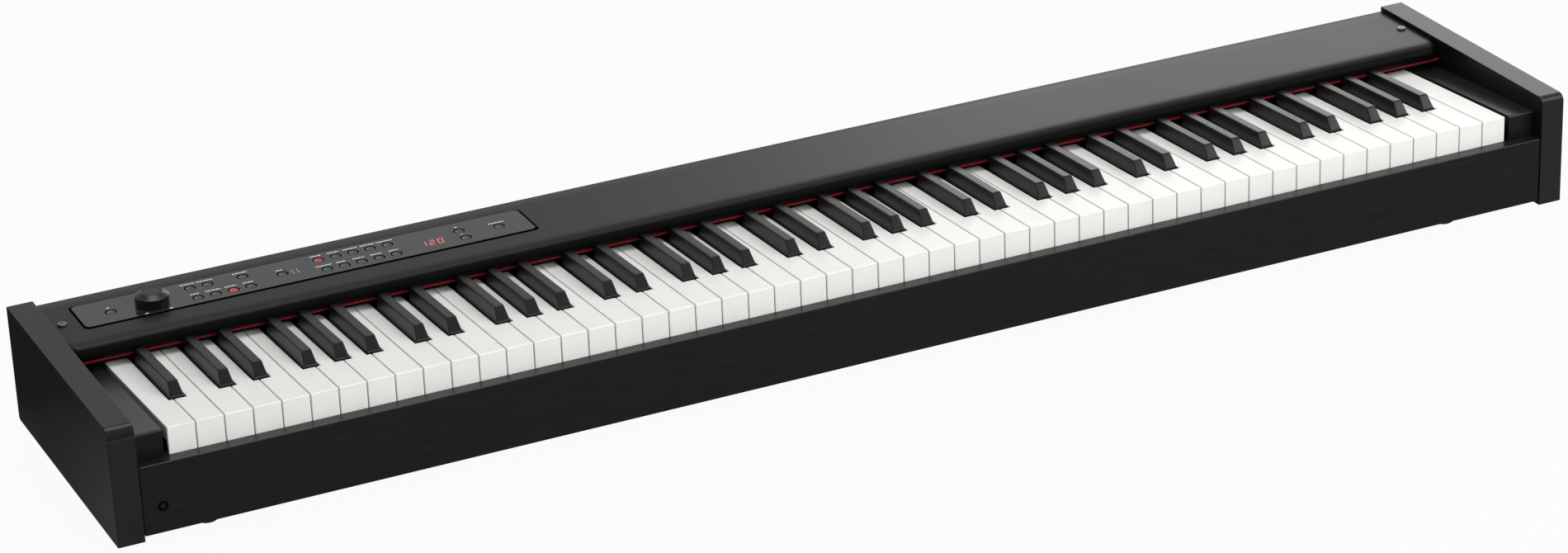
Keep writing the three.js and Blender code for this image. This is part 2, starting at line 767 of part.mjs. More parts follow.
// Screws through the cover's ends
['left_cover_screw', 'right_cover_screw'].forEach((name, index) => {
  const head = screwHeadHeight + seatGap;
  const mesh = add(name, bareSteel, turned([
    [0, -screwShankLength], [screwShankRadius, -screwShankLength], [screwShankRadius, seatGap],
    [screwHeadRadius, seatGap], [screwHeadRadius * screwCrownShare, head * screwCrownHeightShare],
    [screwRecessRadius, head],
    [screwRecessRadius, head - screwRecessDepth], [0, head - screwRecessDepth],
  ], smallRoundSteps));
  mesh.position.set(across(screwPlaces[index]), back(screwFromFront), up(coverTop));
});

// Felt strip under the nose, over the backs of the keys
add('key_felt_strip', feltRed, box(
  across(innerLeft), across(innerRight), back(feltFront), back(feltFront + feltThickness),
  up(coverNoseLow - seatGap - feltHeight), up(coverNoseLow - seatGap)));

// Rear sockets in their order from the bass end. Jacks stand proud of the rear panel, the two round
// plug sockets have a shallow recess, and the power socket has a pin in its bore.
const jackSocket = { sleeve: jackSleeveRadius, rear: bodyDepth, bore: jackBoreRadius };
const plugSocket = {
  sleeve: plugSocketRadius, rear: rearPanelRear, recess: plugSocketRadius - socketRecess,
};
const powerSocket = {
  sleeve: powerSleeveRadius, rear: rearPanelRear, bore: powerBoreRadius, pin: powerPinRadius,
};
const rearSockets = [jackSocket, jackSocket, jackSocket, plugSocket, plugSocket, powerSocket]
  .map((socket, place) => ({ ...socket, x: across(socketFromEnd + place * socketPitch) }));

// Rear panel, with a hole for each socket
add('rear_panel', satinBlack, cut(
  box(across(innerLeft), across(innerRight), back(rearPanelFront), back(rearPanelRear),
    up(boardTop + seatGap), up(coverTop - coverWall - seatGap)),
  ...rearSockets.map(({ x, sleeve }) => pin(x, up(socketHeight), back(rearPanelFront - cutOverrun),
    back(rearPanelRear + cutOverrun), sleeve + socketHoleClearance))));

// Main circuit board, standing behind the keys, with the rear sockets on it
const socketRoot = back(mainBoardFront + circuitThickness / 2);
function rearSocket({ x, sleeve, rear }) {
  const body = box(x - jackBodySize / 2, x + jackBodySize / 2,
    socketRoot, back(rearPanelFront - seatGap),
    up(socketHeight) - jackBodySize / 2, up(socketHeight) + jackBodySize / 2);
  return join(body, pin(x, up(socketHeight), socketRoot, back(rear), sleeve));
}
function socketBore({ x, bore, recess, pin: pinRadius }) {
  const rear = back(bodyDepth + cutOverrun);
  if (recess) return pin(x, up(socketHeight), back(rearPanelRear - socketRecess), rear, recess);
  const hole = pin(x, up(socketHeight), back(mainBoardRear), rear, bore);
  if (!pinRadius) return hole;
  return cut(hole, pin(x, up(socketHeight), back(mainBoardFront), rear, pinRadius, smallRoundSteps));
}
add('main_circuit_board', boardGreen, cut(
  join(
    box(across(mainBoardLeft), across(mainBoardRight), back(mainBoardFront), back(mainBoardRear),
      up(boardTop + mainBoardLift), up(pivotHeight - mainBoardBelowPivot)),
    ...rearSockets.map(rearSocket)),
  ...rearSockets.map(socketBore)));

// Buttons: caps on a moulded strip under the panel
const buttonRow = (fromEnd, pitch, fromFront, indices) => indices.map(
  (n) => [fromEnd + n * pitch, fromFront]);
const buttonGroups = [
  { name: 'power_button', places: [[powerFromEnd, middleRow]] },
  { name: 'function_buttons', places: [
    ...buttonRow(functionFromEnd, functionPitch, frontRow, [0, 1, 2, 3]),
    ...buttonRow(functionFromEnd, functionPitch, rearRow, [0, 1, 3])] },
  { name: 'bank_button', places: [[bankFromEnd, middleRow]] },
  { name: 'voice_buttons', places: [
    ...buttonRow(voiceFromEnd, voicePitch, frontRow, [0, 1, 2, 3, 4]),
    ...buttonRow(voiceFromEnd, voicePitch, rearRow, [0, 1, 2, 3, 4])] },
  { name: 'tempo_buttons', places: [
    [valueFromEnd, panelFront + valueUpSetback],
    [valueFromEnd, panelFront + valueDownSetback],
    [tempoFromEnd, middleRow]] },
];
const panelLow = coverTop - panelPlate;
const stripTop = panelLow - panelFlangeThickness - buttonTravelRoom;
for (const { name, places } of buttonGroups) {
  const xs = places.map(([x]) => x);
  const ys = places.map(([, y]) => y);
  const strip = box(
    across(Math.min(...xs)) - buttonStripWidth / 2, across(Math.max(...xs)) + buttonStripWidth / 2,
    back(Math.min(...ys)) - buttonStripWidth / 2, back(Math.max(...ys)) + buttonStripWidth / 2,
    up(stripTop - buttonStripThickness), up(stripTop));
  const caps = places.map(([x, y]) => {
    const cap = turned([
      [0, stripTop - buttonStripThickness / 2], [buttonRadius, stripTop - buttonStripThickness / 2],
      [buttonRadius, coverTop + buttonStand - buttonEdge],
      [buttonRadius - buttonEdge, coverTop + buttonStand], [0, coverTop + buttonStand],
    ], smallRoundSteps);
    return cap.translate([across(x), back(y), footDrop]);
  });
  add(name, capGrey, join(strip, ...caps));
}

// Control panel: a plate flush with the cover, on a flange under its edge
const panelHoles = buttonGroups.flatMap(({ places }) => places).map(([x, y]) => post(
  across(x), back(y), up(stripTop), up(coverTop + cutOverrun), buttonHoleRadius, smallRoundSteps));
const flangeTop = coverTop - coverWall - seatGap;
add('control_panel', panelGrey, cut(
  join(
    planProfile(roundedOutline(across(panelLeft), across(panelRight), back(panelFront), back(panelRear),
      panelCorner), up(flangeTop - panelFlangeThickness), up(coverTop)),
    planProfile(roundedOutline(
      across(panelLeft) - panelFlange, across(panelRight) + panelFlange,
      back(panelFront) - panelFlange, back(panelRear) + panelFlange, panelCorner + panelFlange),
    up(flangeTop - panelFlangeThickness), up(flangeTop))),
  post(across(knobFromEnd), back(knobFromFront), up(stripTop), up(coverTop + cutOverrun), shaftHoleRadius,
    smallRoundSteps),
  box(across(windowLeft), across(windowRight), back(windowFront), back(windowRear),
    up(stripTop), up(coverTop - panelPlate / 2)),
  ...panelHoles));

// Panel circuit board, with the digits and the volume potentiometer soldered to it
const panelBoardTop = stripTop - panelBoardDrop;
const panelBoardLow = panelBoardTop - circuitThickness;
const shaftLow = coverTop - knobShaftDrop;
add('panel_circuit_board', boardGreen, cut(
  join(
    box(across(panelLeft + panelBoardInset), across(panelRight - panelBoardInset),
      back(panelFront + panelBoardInset), back(panelRear - panelBoardInset),
      up(panelBoardLow), up(panelBoardTop)),
    post(across(knobFromEnd), back(knobFromFront), up(panelBoardLow + circuitThickness / 2),
      up(panelBoardTop + potBodyHeight), potBodyRadius),
    box(across(windowLeft + seatGap), across(windowRight - seatGap),
      back(windowFront + seatGap), back(windowRear - seatGap),
      up(panelBoardTop - circuitThickness / 2), up(coverTop - panelPlate / 2 - seatGap))),
  post(across(knobFromEnd), back(knobFromFront), up(panelBoardTop), up(coverTop),
    knobShaftRadius + seatGap, smallRoundSteps)));

// Volume knob with its shaft
const knob = add('volume_knob', knobBlack, turned([
  [0, -(coverTop - panelBoardTop) + seatGap],
  [knobShaftRadius, -(coverTop - panelBoardTop) + seatGap],
  [knobShaftRadius, seatGap],
  [knobRadius, seatGap],
  [knobRadius, knobSkirtHeight],
  [knobFaceRadius, knobHeight],
  [knobFaceRadius - knobDishDepth, knobHeight - knobDishDepth],
  [0, knobHeight - knobDishDepth],
], knobSteps));
knob.position.set(across(knobFromEnd), back(knobFromFront), up(coverTop));

export default piano;
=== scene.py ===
"""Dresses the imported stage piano: finished keys, cover, control panel, sockets and case, and a plain
studio."""
import math

import bpy
import numpy as np
from mathutils import Matrix, Vector


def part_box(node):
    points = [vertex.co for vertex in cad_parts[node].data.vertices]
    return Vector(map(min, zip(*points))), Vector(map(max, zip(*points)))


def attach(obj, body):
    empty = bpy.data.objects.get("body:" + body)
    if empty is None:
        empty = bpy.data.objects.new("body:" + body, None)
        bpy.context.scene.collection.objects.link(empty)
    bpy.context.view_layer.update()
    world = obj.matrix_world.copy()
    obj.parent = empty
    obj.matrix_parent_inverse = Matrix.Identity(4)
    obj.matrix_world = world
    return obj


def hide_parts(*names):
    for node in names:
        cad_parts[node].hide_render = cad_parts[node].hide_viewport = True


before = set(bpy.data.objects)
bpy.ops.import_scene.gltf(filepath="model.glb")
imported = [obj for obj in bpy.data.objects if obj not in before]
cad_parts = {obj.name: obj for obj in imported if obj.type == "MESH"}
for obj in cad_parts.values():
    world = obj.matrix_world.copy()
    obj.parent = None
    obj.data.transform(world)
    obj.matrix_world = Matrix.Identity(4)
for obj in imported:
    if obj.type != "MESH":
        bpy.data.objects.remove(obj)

bl_info = {
    "name": "Stage Piano",
    "version": (1, 0, 0),
    "blender": (4, 5, 0),
    "location": "View3D > Sidebar > Piano",
    "description": "Builds the finished surfaces of a slim stage piano around its fixed frame",
    "category": "Object",
}

MM = 0.001
FULL_TURN = 2 * math.pi
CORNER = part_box("left_end_panel")[0]
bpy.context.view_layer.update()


def span(node):
    """A node's low and high ends along each axis, in millimetres from the left end, the front and the lower
    edge of the end panels. The pieces' sizes below are on this scale."""
    low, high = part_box(node)
    return [((low[i] - CORNER[i]) / MM, (high[i] - CORNER[i]) / MM) for i in range(3)]


END_THICK, END_DEPTH, END_HEIGHT = (high for _, high in span("left_end_panel"))
BODY_WIDTH = span("right_end_panel")[0][1]
_, (COVER_FRONT, COVER_REAR), (COVER_LOW, COVER_TOP) = span("top_cover")
KEY_CLEARANCE = 0.5
KEYS_LEFT = span("white_keys_A0_to_B1")[0][0] - KEY_CLEARANCE
KEYS_RIGHT = span("white_keys_C7_to_C8")[0][1] + KEY_CLEARANCE
PIVOT_Y = 226.0
PIVOT_Z = 62.0
KEY_TILT = math.radians(3.77)
WHITES = 52
NATURALS = "CDEFGAB"


# Sizes and colours that a user would change

def length(name, description, default):
    return bpy.props.FloatProperty(
        name=name, description=description, default=default, min=0.0, unit="LENGTH", precision=5)


def tint(name, description, default):
    return bpy.props.FloatVectorProperty(
        name=name, description=description, default=default, subtype="COLOR", size=3, min=0.0, max=1.0)


class PianoSizes(bpy.types.PropertyGroup):
    """Sizes of the finished pieces, in metres"""
    key_gap: length("Key gap", "Air between two white keys", 0.0008)
    key_edge: length("Key edge", "Radius of the white keys' edges", 0.0008)
    black_crown: length("Black key crown", "Radius along the tops of the black keys", 0.0013)
    black_top: length("Black key top", "Width of the black keys' tops", 0.0086)
    case_edge: length("Case edge", "Radius of the case boards' edges", 0.0006)
    nose_radius: length("Nose radius", "Radius of the cover's rounded front", 0.009)
    knob_radius: length("Knob radius", "Radius of the volume knob", 0.0142)
    cap_radius: length("Cap radius", "Radius of a button cap", 0.0037)
    digit_height: length("Digit height", "Height of the red digits", 0.0096)


class PianoColours(bpy.types.PropertyGroup):
    """Colours of the finishes"""
    foil: tint("Foil", "Black foil on the case boards", (0.0056, 0.0055, 0.0054))
    cover: tint("Cover", "Satin paint of the cover", (0.0062, 0.006, 0.0058))
    panel: tint("Panel", "Film of the control panel", (0.0115, 0.0130, 0.0126))
    white_key: tint("White keys", "Moulded white of the keys", (0.80, 0.79, 0.762))
    black_key: tint("Black keys", "Moulded black of the keys", (0.0035, 0.0034, 0.0033))
    felt: tint("Felt", "Red felt behind the keys", (0.14, 0.008, 0.011))
    lamp: tint("Lamp", "Lit digits and buttons", (1.0, 0.13, 0.15))
    marks: tint("Marks", "Printed marks on the panel", (0.82, 0.82, 0.8))
    cap: tint("Button caps", "Dark grey of the caps", (0.04, 0.041, 0.041))
    floor: tint("Floor", "Studio floor", (0.4, 0.4, 0.4))


# Shader maths

class Value:
    """A shader number that adds its own Math nodes when it is used in an expression"""

    def __init__(self, shader, socket):
        self.shader = shader
        self.socket = socket

    def output(self, name):
        """Another output of the same node"""
        return Value(self.shader, self.socket.node.outputs[name])

    def maths(self, operation, first, second):
        return self.shader.node("ShaderNodeMath", {"operation": operation}, {0: first, 1: second})

    def __add__(self, other):
        return self.maths("ADD", self, other)

    def __sub__(self, other):
        return self.maths("SUBTRACT", self, other)

    def __rsub__(self, other):
        return self.maths("SUBTRACT", other, self)

    def __mul__(self, other):
        return self.maths("MULTIPLY", self, other)

    __radd__ = __add__
    __rmul__ = __mul__


class Shader:
    """A node tree, in which every node but an expression's own comes from one method"""

    def __init__(self, owner):
        owner.use_nodes = True
        self.tree = owner.node_tree

    def put(self, socket, value):
        if isinstance(value, Value):
            self.tree.links.new(value.socket, socket)
        else:
            socket.default_value = value

    def node(self, kind, settings=None, inputs=None, out=0):
        """A node of a kind, its settings first, then the values or links of its sockets"""
        made = self.tree.nodes.new(kind)
        for name, value in (settings or {}).items():
            setattr(made, name, value)
        for key, value in (inputs or {}).items():
            self.put(made.inputs[key], value)
        return Value(self, made.outputs[out])

    def seen(self, camera, gloss):
        """The share of plain white that a ray meets: one for the camera's rays, one for gloss and glass"""
        ray = self.node("ShaderNodeLightPath")
        mirrored = ray.output("Is Glossy Ray") + ray.output("Is Transmission Ray")
        return ray.output("Is Camera Ray") * camera + mirrored * gloss

    def end(self, kind, share, first, second):
        """Mixes two shaders by share into the tree's output"""
        mix = self.node("ShaderNodeMixShader", None, {0: share, 1: first, 2: second})
        self.put(self.tree.nodes[kind].inputs["Surface"], mix)


def scaled(colour, level):
    """A colour at a level of brightness, with full alpha"""
    return (*(min(1.0, c * level) for c in colour), 1.0)


class Finish(Shader):
    """One material: constants go on the shader's own sockets, and what varies is fed in"""

    def __init__(self, name, colour, **constants):
        self.material = bpy.data.materials.new(name)
        super().__init__(self.material)
        self.surface = self.tree.nodes["Principled BSDF"]
        self.colour = colour
        self.feed("Base Color", scaled(colour, 1.0))
        for socket, value in constants.items():
            self.feed(socket.replace("_", " "), value)

    def feed(self, name, value):
        self.put(self.surface.inputs[name], value)
        return self

    def place(self, scale=(1, 1, 1)):
        """Object coordinates, stretched"""
        spot = self.node("ShaderNodeTexCoord", out=3)
        return self.node("ShaderNodeMapping", None, {"Vector": spot, "Scale": scale})

    def along(self, axis):
        """One object coordinate in metres: 0 across, 1 along the depth, 2 up"""
        spot = self.node("ShaderNodeTexCoord", out=3)
        return self.node("ShaderNodeSeparateXYZ", None, {"Vector": spot}, out=axis)

    def along_grain(self, scale):
        """The piece's own grain map, stretched"""
        spot = self.node("ShaderNodeUVMap", {"uv_map": "grain"})
        return self.node("ShaderNodeMapping", None, {"Vector": spot, "Scale": scale})

    def noise(self, where, scale, detail, rough=0.5):
        return self.node("ShaderNodeTexNoise", None, {
            "Vector": where, "Scale": scale, "Detail": detail, "Roughness": rough})

    def fade(self, value, low, high, to_low=0.0, to_high=1.0):
        """A value mapped from one range to another, held at its ends"""
        return self.node("ShaderNodeMapRange", {"clamp": True}, {
            0: value, 1: low, 2: high, 3: to_low, 4: to_high})

    def below(self, value, low, high):
        """One up to low, falling to zero at high"""
        return self.fade(value, low, high, 1.0, 0.0)

    def blend(self, share, first, second):
        return self.node("ShaderNodeMix", {"data_type": "RGBA"}, {0: share, 6: first, 7: second}, out=2)

    def tone(self, share, darker, lighter):
        """The finish's own colour between two levels of brightness, by share"""
        return self.blend(share, scaled(self.colour, darker), scaled(self.colour, lighter))

    def shade(self, share, darker, lighter):
        return self.feed("Base Color", self.tone(share, darker, lighter))

    def relief(self, height, strength, depth):
        bump = self.node("ShaderNodeBump", None, {"Strength": strength, "Distance": depth, "Height": height})
        return self.feed("Normal", bump)


# How often the wood grain changes in a metre, along and across the grain
ALONG, ACROSS = 24, 620


def foil_grain(made, where):
    """Wood grain on foil: pores are noise stretched along the grain, over a fine speckle that varies the
    gloss. Gives the grain's colour and the speckle."""
    pores = made.noise(where, 1.0, 4.0, 0.6)
    speckle = made.noise(made.place(), 1500.0, 2.0)
    made.feed("Roughness", 0.26 + 0.16 * speckle)
    made.relief(pores * 0.6 + speckle * 0.4, 0.3, 0.0002)
    return made.tone(made.fade(pores, 0.35, 0.7), 0.7, 1.5), speckle


def in_from_ends(made):
    """Metres behind the end panels' front, and metres below their top"""
    return made.along(1) - CORNER.y, CORNER.z + END_HEIGHT * MM - made.along(2)


def board_foil_finish(colour):
    """Foil with its grain along the boards, rubbed to a gloss on the rail's ledge"""
    made = Finish("board_foil", colour, Specular_IOR_Level=0.19, Coat_Roughness=0.34)
    grain, speckle = foil_grain(made, made.place((ALONG, ACROSS, ACROSS)))
    depth, drop = in_from_ends(made)
    ledge = made.below(depth, 0.013, 0.0135) * made.below(drop, 0.0385, 0.039)
    made.feed("Base Color", grain)
    return made.feed("Coat Weight", ledge * (0.2 + 0.4 * speckle)).material


def end_foil_finish(colour):
    """Foil with its grain on the board's own map and a satin coat, of which the sides have less. On the left
    board, painted shade darkens the nose, and a thin painted highlight line ends it."""
    made = Finish("end_foil", colour, Specular_IOR_Level=0.015, Coat_Roughness=0.34)
    grain, speckle = foil_grain(made, made.along_grain((ALONG, ACROSS, 1)))
    outer = made.node("ShaderNodeAttribute", {"attribute_name": "side"}, out=2)
    made.feed("Coat Weight", (1 - 0.4 * outer) * (0.42 + 0.4 * speckle))
    depth, drop = in_from_ends(made)
    on_left = made.below(made.along(0), -0.1, 0.1)
    # Painted shade on the left board's nose, and a painted highlight line along its lower end
    front = made.below(depth, 0.0065, 0.008) * (1 - outer) * on_left
    nose = made.below(drop, 0.009, 0.0094) * front
    line = made.fade(drop, 0.0096, 0.0099) * made.below(drop, 0.0106, 0.0109) * front
    dark = made.blend(nose, grain, (0.0008, 0.0008, 0.0008, 1.0))
    return made.feed("Base Color", made.blend(line, dark, (0.022, 0.021, 0.021, 1.0))).material


def cheek_finish(colour):
    """Foil with a glossier top face, which ends at the front in a dark line without coat, over a painted
    highlight line. The drop below the top face is measured from its plane, which falls towards the rear by
    the keys' tilt."""
    made = Finish("cheek_foil", colour, Specular_IOR_Level=0.17, Coat_Roughness=0.4)
    grain, speckle = foil_grain(made, made.place((ACROSS, ALONG, ACROSS)))
    low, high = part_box("left_cheek_block")
    depth, drop = made.along(1) - low.y, high.z - made.along(2)
    upper = made.below(drop - (depth - 0.0015) * math.tan(KEY_TILT), 0.0004, 0.0006)
    edge = made.below(depth, 0.001, 0.0012)
    # Painted highlight: a pale line just under the top face's front edge
    pale = edge * made.fade(drop, 0.0006, 0.0007) * made.below(drop, 0.0015, 0.0017)
    made.feed("Base Color", made.blend(pale, grain, (0.03, 0.029, 0.028, 1.0)))
    return made.feed("Coat Weight", upper * (1 - edge) * (0.3 + 0.4 * speckle)).material


def paint_finish(colour):
    """Satin paint with a fine even texture, duller on the nose and darkened there by painted shade, and a
    slow drift of the gloss over half a metre"""
    made = Finish("cover_paint", colour, Specular_IOR_Level=0.04, Coat_Roughness=0.36)
    fine = made.noise(made.place(), 1300.0, 2.0, 0.6)
    drift = made.noise(made.place(), 5.0, 1.0)
    top = CORNER.z + COVER_TOP * MM
    upper = made.fade(made.along(2), top - 0.0032, top - 0.0004)
    # Painted shade: below the flat top the colour falls to about a third, over the whole nose
    made.shade(fine * upper, 0.35, 1.7)
    made.feed("Coat Weight", upper * (0.28 + 0.22 * fine))
    made.feed("Roughness", 0.34 + 0.06 * drift + 0.08 * fine)
    return made.relief(fine, 0.16, 0.00012).material


def film_finish(colour):
    """Printed film: smooth, half gloss, with a faint grain in the colour and the gloss"""
    made = Finish("panel_film", colour, Specular_IOR_Level=0.56)
    grain = made.noise(made.place(), 2600.0, 1.0)
    made.shade(grain, 0.85, 1.15)
    made.feed("Roughness", 0.11 + 0.07 * grain)
    return made.relief(grain, 0.03, 0.00005).material


def white_key_finish(colour):
    """Moulded acrylic: clear gloss over a white that varies slightly from key to key"""
    made = Finish("white_key_gloss", colour, Specular_IOR_Level=0.3, Coat_Weight=0.1, Coat_Roughness=0.2,
                  Coat_IOR=1.5)
    by_key = made.noise(made.place((41, 0.6, 0.6)), 1.0, 0.0)
    film = made.noise(made.place(), 160.0, 3.0, 0.6)
    made.shade(by_key, 0.965, 1.02)
    made.feed("Roughness", 0.36 + 0.14 * film)
    return made.relief(film, 0.03, 0.0001).material


def black_key_finish(colour):
    """Moulded black with a grain drawn out 30 times along the key"""
    made = Finish("black_key_grain", colour, Specular_IOR_Level=0.27)
    grain = made.noise(made.place((1700, 55, 1700)), 1.0, 3.0, 0.6)
    made.shade(grain, 0.7, 1.4)
    made.feed("Roughness", 0.25 + 0.14 * grain)
    return made.relief(grain, 0.22, 0.00014).material


def felt_finish(colour):
    """Pressed felt: tangled fibres from two noises, a soft sheen and a rough nap"""
    made = Finish("key_felt", colour, Roughness=0.95, Specular_IOR_Level=0.1, Sheen_Weight=0.2,
                  Sheen_Roughness=0.4, Sheen_Tint=(1.0, 0.35, 0.35, 1.0))
    fibres = made.noise(made.place((400, 1500, 1500)), 1.0, 4.0, 0.7)
    clumps = made.noise(made.place(), 260.0, 2.0)
    made.shade(fibres * 0.6 + clumps * 0.4, 0.55, 1.35)
    return made.relief(fibres, 0.8, 0.0005).material


def plastic_finish(name, colour, roughness, grain=0.06, gloss=0.5):
    """Moulded plastic with a fine spark-eroded texture"""
    made = Finish(name, colour, Specular_IOR_Level=gloss)
    pits = made.noise(made.place(), 1900.0, 2.0)
    made.shade(pits, 0.85, 1.15)
    made.feed("Roughness", roughness - grain / 2 + grain * pits)
    return made.relief(pits, 0.15, 0.0001).material


def metal_finish(name, colour, roughness, stretch=(1, 1, 1)):
    """Drawn or plated steel with fine lines along its length"""
    made = Finish(name, colour, Metallic=1.0)
    lines = made.noise(made.place(stretch), 700.0, 3.0, 0.6)
    made.shade(lines, 0.8, 1.1)
    made.feed("Roughness", roughness - 0.06 + 0.14 * lines)
    return made.relief(lines, 0.08, 0.00005).material


def rubber_finish(colour):
    """Matt rubber with a chalky bloom"""
    made = Finish("foot_rubber_matt", colour, Roughness=0.85, Specular_IOR_Level=0.3)
    bloom = made.noise(made.place(), 420.0, 4.0, 0.65)
    made.shade(bloom, 0.7, 1.5)
    return made.relief(bloom, 0.3, 0.0002).material


def board_finish(colour):
    """Solder mask with copper tracks showing as slightly raised cells"""
    made = Finish("solder_mask", colour, Roughness=0.35, Specular_IOR_Level=0.5)
    tracks = made.node("ShaderNodeTexVoronoi", {"feature": "DISTANCE_TO_EDGE"}, {
        "Vector": made.place(), "Scale": 210.0})
    line = made.fade(tracks, 0.02, 0.06)
    made.shade(line, 1.6, 1.0)
    return made.relief(1 - line, 0.3, 0.0001).material


def lamp_finish(name, glow, strength, body):
    """A red lamp behind tinted plastic: it glows evenly and keeps a little gloss"""
    made = Finish(name, body, Roughness=0.35, Emission_Strength=strength)
    haze = made.noise(made.place(), 900.0, 1.0)
    return made.feed("Emission Color", made.blend(haze, scaled(glow, 0.85), scaled(glow, 1.0))).material


def floor_paper(colour):
    """Paper floor that shows mostly white to the camera, and keeps the object's shadow"""
    made = Finish("white_paper", colour, Roughness=0.9)
    glow = made.node("ShaderNodeEmission", None, {"Strength": 1.0})
    made.end("Material Output", made.seen(0.95, 0.1), Value(made, made.surface.outputs[0]), glow)
    return made.material


def card_black():
    """Black that fades in from the card's front, and never quite covers"""
    made = Finish("black_card", (0.0, 0.0, 0.0), Roughness=1.0, Specular_IOR_Level=0.0)
    clear = made.node("ShaderNodeBsdfTransparent")
    cover = made.fade(made.along(1), -0.045, 0.2, 0.0, 0.86)
    made.end("Material Output", cover, clear, Value(made, made.surface.outputs[0]))
    return made.material


FINISHES = {}


def finishes(context):
    """Every finish of the piano and of its stage, made once from the scene's colours"""
    colours = context.scene.piano_colours
    if not FINISHES:
        FINISHES.update(
            foil=board_foil_finish(colours.foil),
            end_foil=end_foil_finish(colours.foil),
            cheek=cheek_finish(colours.foil),
            cover=paint_finish(colours.cover),
            panel=film_finish(colours.panel),
            white=white_key_finish(colours.white_key),
            black=black_key_finish(colours.black_key),
            felt=felt_finish(colours.felt),
            cap=plastic_finish("button_cap", colours.cap, 0.38),
            knob=plastic_finish("knob_black_gloss", (0.0035, 0.0035, 0.0035), 0.3, 0.04, 0.32),
            # Near-black that paints the shade in the panel's gaps and under the felt; the headphone socket's
            # collar uses it too
            void=plastic_finish("dark_gap", (0.001, 0.001, 0.001), 0.7, 0.06, 0.05),
            socket=plastic_finish("socket_black", (0.012, 0.012, 0.012), 0.45),
            marks=plastic_finish("printed_marks", colours.marks, 0.5),
            rubber=rubber_finish((0.012, 0.012, 0.012)),
            solder=board_finish((0.012, 0.075, 0.03)),
            steel=metal_finish("bright_steel", (0.5, 0.5, 0.49), 0.3),
            zinc=metal_finish("zinc_plate", (0.42, 0.43, 0.44), 0.42, (0.3, 1, 1)),
            nickel=metal_finish("screw_nickel", (0.17, 0.165, 0.155), 0.34),
            hammer=plastic_finish("hammer_paint", (0.07, 0.075, 0.08), 0.5),
            digit=lamp_finish("red_digits", colours.lamp, 1.7, (0.3, 0.02, 0.02)),
            lit=lamp_finish("red_lit_cap", (0.68, 0.05, 0.06), 0.26, (0.2, 0.02, 0.025)),
            diode=lamp_finish("pale_diodes", (0.6, 0.6, 0.56), 0.25, (0.4, 0.4, 0.38)),
            floor=floor_paper(colours.floor),
            card=card_black(),
        )
    return FINISHES


# Shapes, worked out in millimetres

def rounded(corners, radius, steps=4):
    """A closed polygon whose corners become arcs. At a corner with half angle h between its sides, the
    arc's centre lies r / sin h along the bisector, and the arc turns by pi - 2h between the two tangent
    points."""
    p = np.asarray(corners, float)
    r = np.broadcast_to(np.asarray(radius, float), len(p))[:, None]
    before = np.roll(p, 1, 0) - p
    after = np.roll(p, -1, 0) - p
    before /= np.linalg.norm(before, axis=1, keepdims=True)
    after /= np.linalg.norm(after, axis=1, keepdims=True)
    half = np.arccos(np.clip((before * after).sum(1), -1, 1))[:, None] / 2
    bisector = before + after
    bisector /= np.linalg.norm(bisector, axis=1, keepdims=True)
    centre = p + bisector * r / np.sin(half)
    reach = r / np.tan(half)
    start = (p + before * reach - centre) / r
    end = (p + after * reach - centre) / r
    turn = (math.pi - 2 * half)[:, None]
    s = np.linspace(0, 1, steps + 1)[None, :, None]
    arc = (np.sin((1 - s) * turn) * start[:, None] + np.sin(s * turn) * end[:, None]) / np.sin(turn)
    return (centre[:, None] + r[:, None] * arc).reshape(-1, 2)


def grown(box, by):
    """A rectangle (x0, x1, y0, y1) with its sides moved outwards"""
    return box[0] - by, box[1] + by, box[2] - by, box[3] + by


def rectangle(box, radius, steps=4):
    x0, x1, y0, y1 = box
    return rounded([(x0, y0), (x1, y0), (x1, y1), (x0, y1)], radius, steps)


def circle(radius, steps):
    turn = np.arange(steps) * FULL_TURN / steps
    return radius * np.stack([np.cos(turn), np.sin(turn)], 1)


def inset(outline, depth):
    """A closed anticlockwise outline moved inwards by depth along its mitred corners"""
    side = np.roll(outline, -1, 0) - outline
    normal = np.stack([-side[:, 1], side[:, 0]], 1)
    normal /= np.linalg.norm(normal, axis=1, keepdims=True)
    last = np.roll(normal, 1, 0)
    return outline + depth * (normal + last) / (1 + (normal * last).sum(1, keepdims=True))


def skin(rings, caps=True):
    """Quads between neighbouring closed rings, row i to row i + 1. The ends get flat caps, or else the last
    ring joins the first."""
    rings = np.asarray(rings, float)
    rows, count = rings.shape[:2]
    index = np.arange(rows * count).reshape(rows, count)
    low = index[:-1] if caps else index
    high = index[1:] if caps else np.roll(index, -1, 0)
    quads = np.stack([low, np.roll(low, -1, 1), np.roll(high, -1, 1), high], -1).reshape(-1, 4).tolist()
    if caps:
        quads += [index[0][::-1].tolist(), index[-1].tolist()]
    return rings.reshape(-1, 3), quads


def lay(outline, level, axis):
    """A flat outline set at a level along an axis: (y, z) for X, (z, x) for Y and (x, y) for Z"""
    u, v = outline[:, 0], outline[:, 1]
    w = np.full_like(u, level)
    return np.stack({"X": (w, u, v), "Y": (v, w, u), "Z": (u, v, w)}[axis], 1)


def prism(outline, low, high, edge, axis, steps=3):
    """An outline pushed along an axis with rounded ends: at angle t, the outline is inset by edge (1 - sin
    t) and stands edge (1 - cos t) in from the end."""
    t = np.linspace(0, math.pi / 2, steps + 1)
    insets = edge * (1 - np.sin(t))
    offsets = edge * (1 - np.cos(t))
    levels = np.concatenate([low + offsets, (high - offsets)[::-1]])
    depths = np.concatenate([insets, insets[::-1]])
    return skin([lay(inset(outline, d), w, axis) for d, w in zip(depths, levels)])


def slab(x, y, z, edge, axis="Z", steps=3):
    """A board between two corners with all its edges rounded"""
    spans = {"X": (y, z, x), "Y": (z, x, y), "Z": (x, y, z)}[axis]
    return prism(rectangle((*spans[0], *spans[1]), edge, steps), *spans[2], edge, axis, steps)


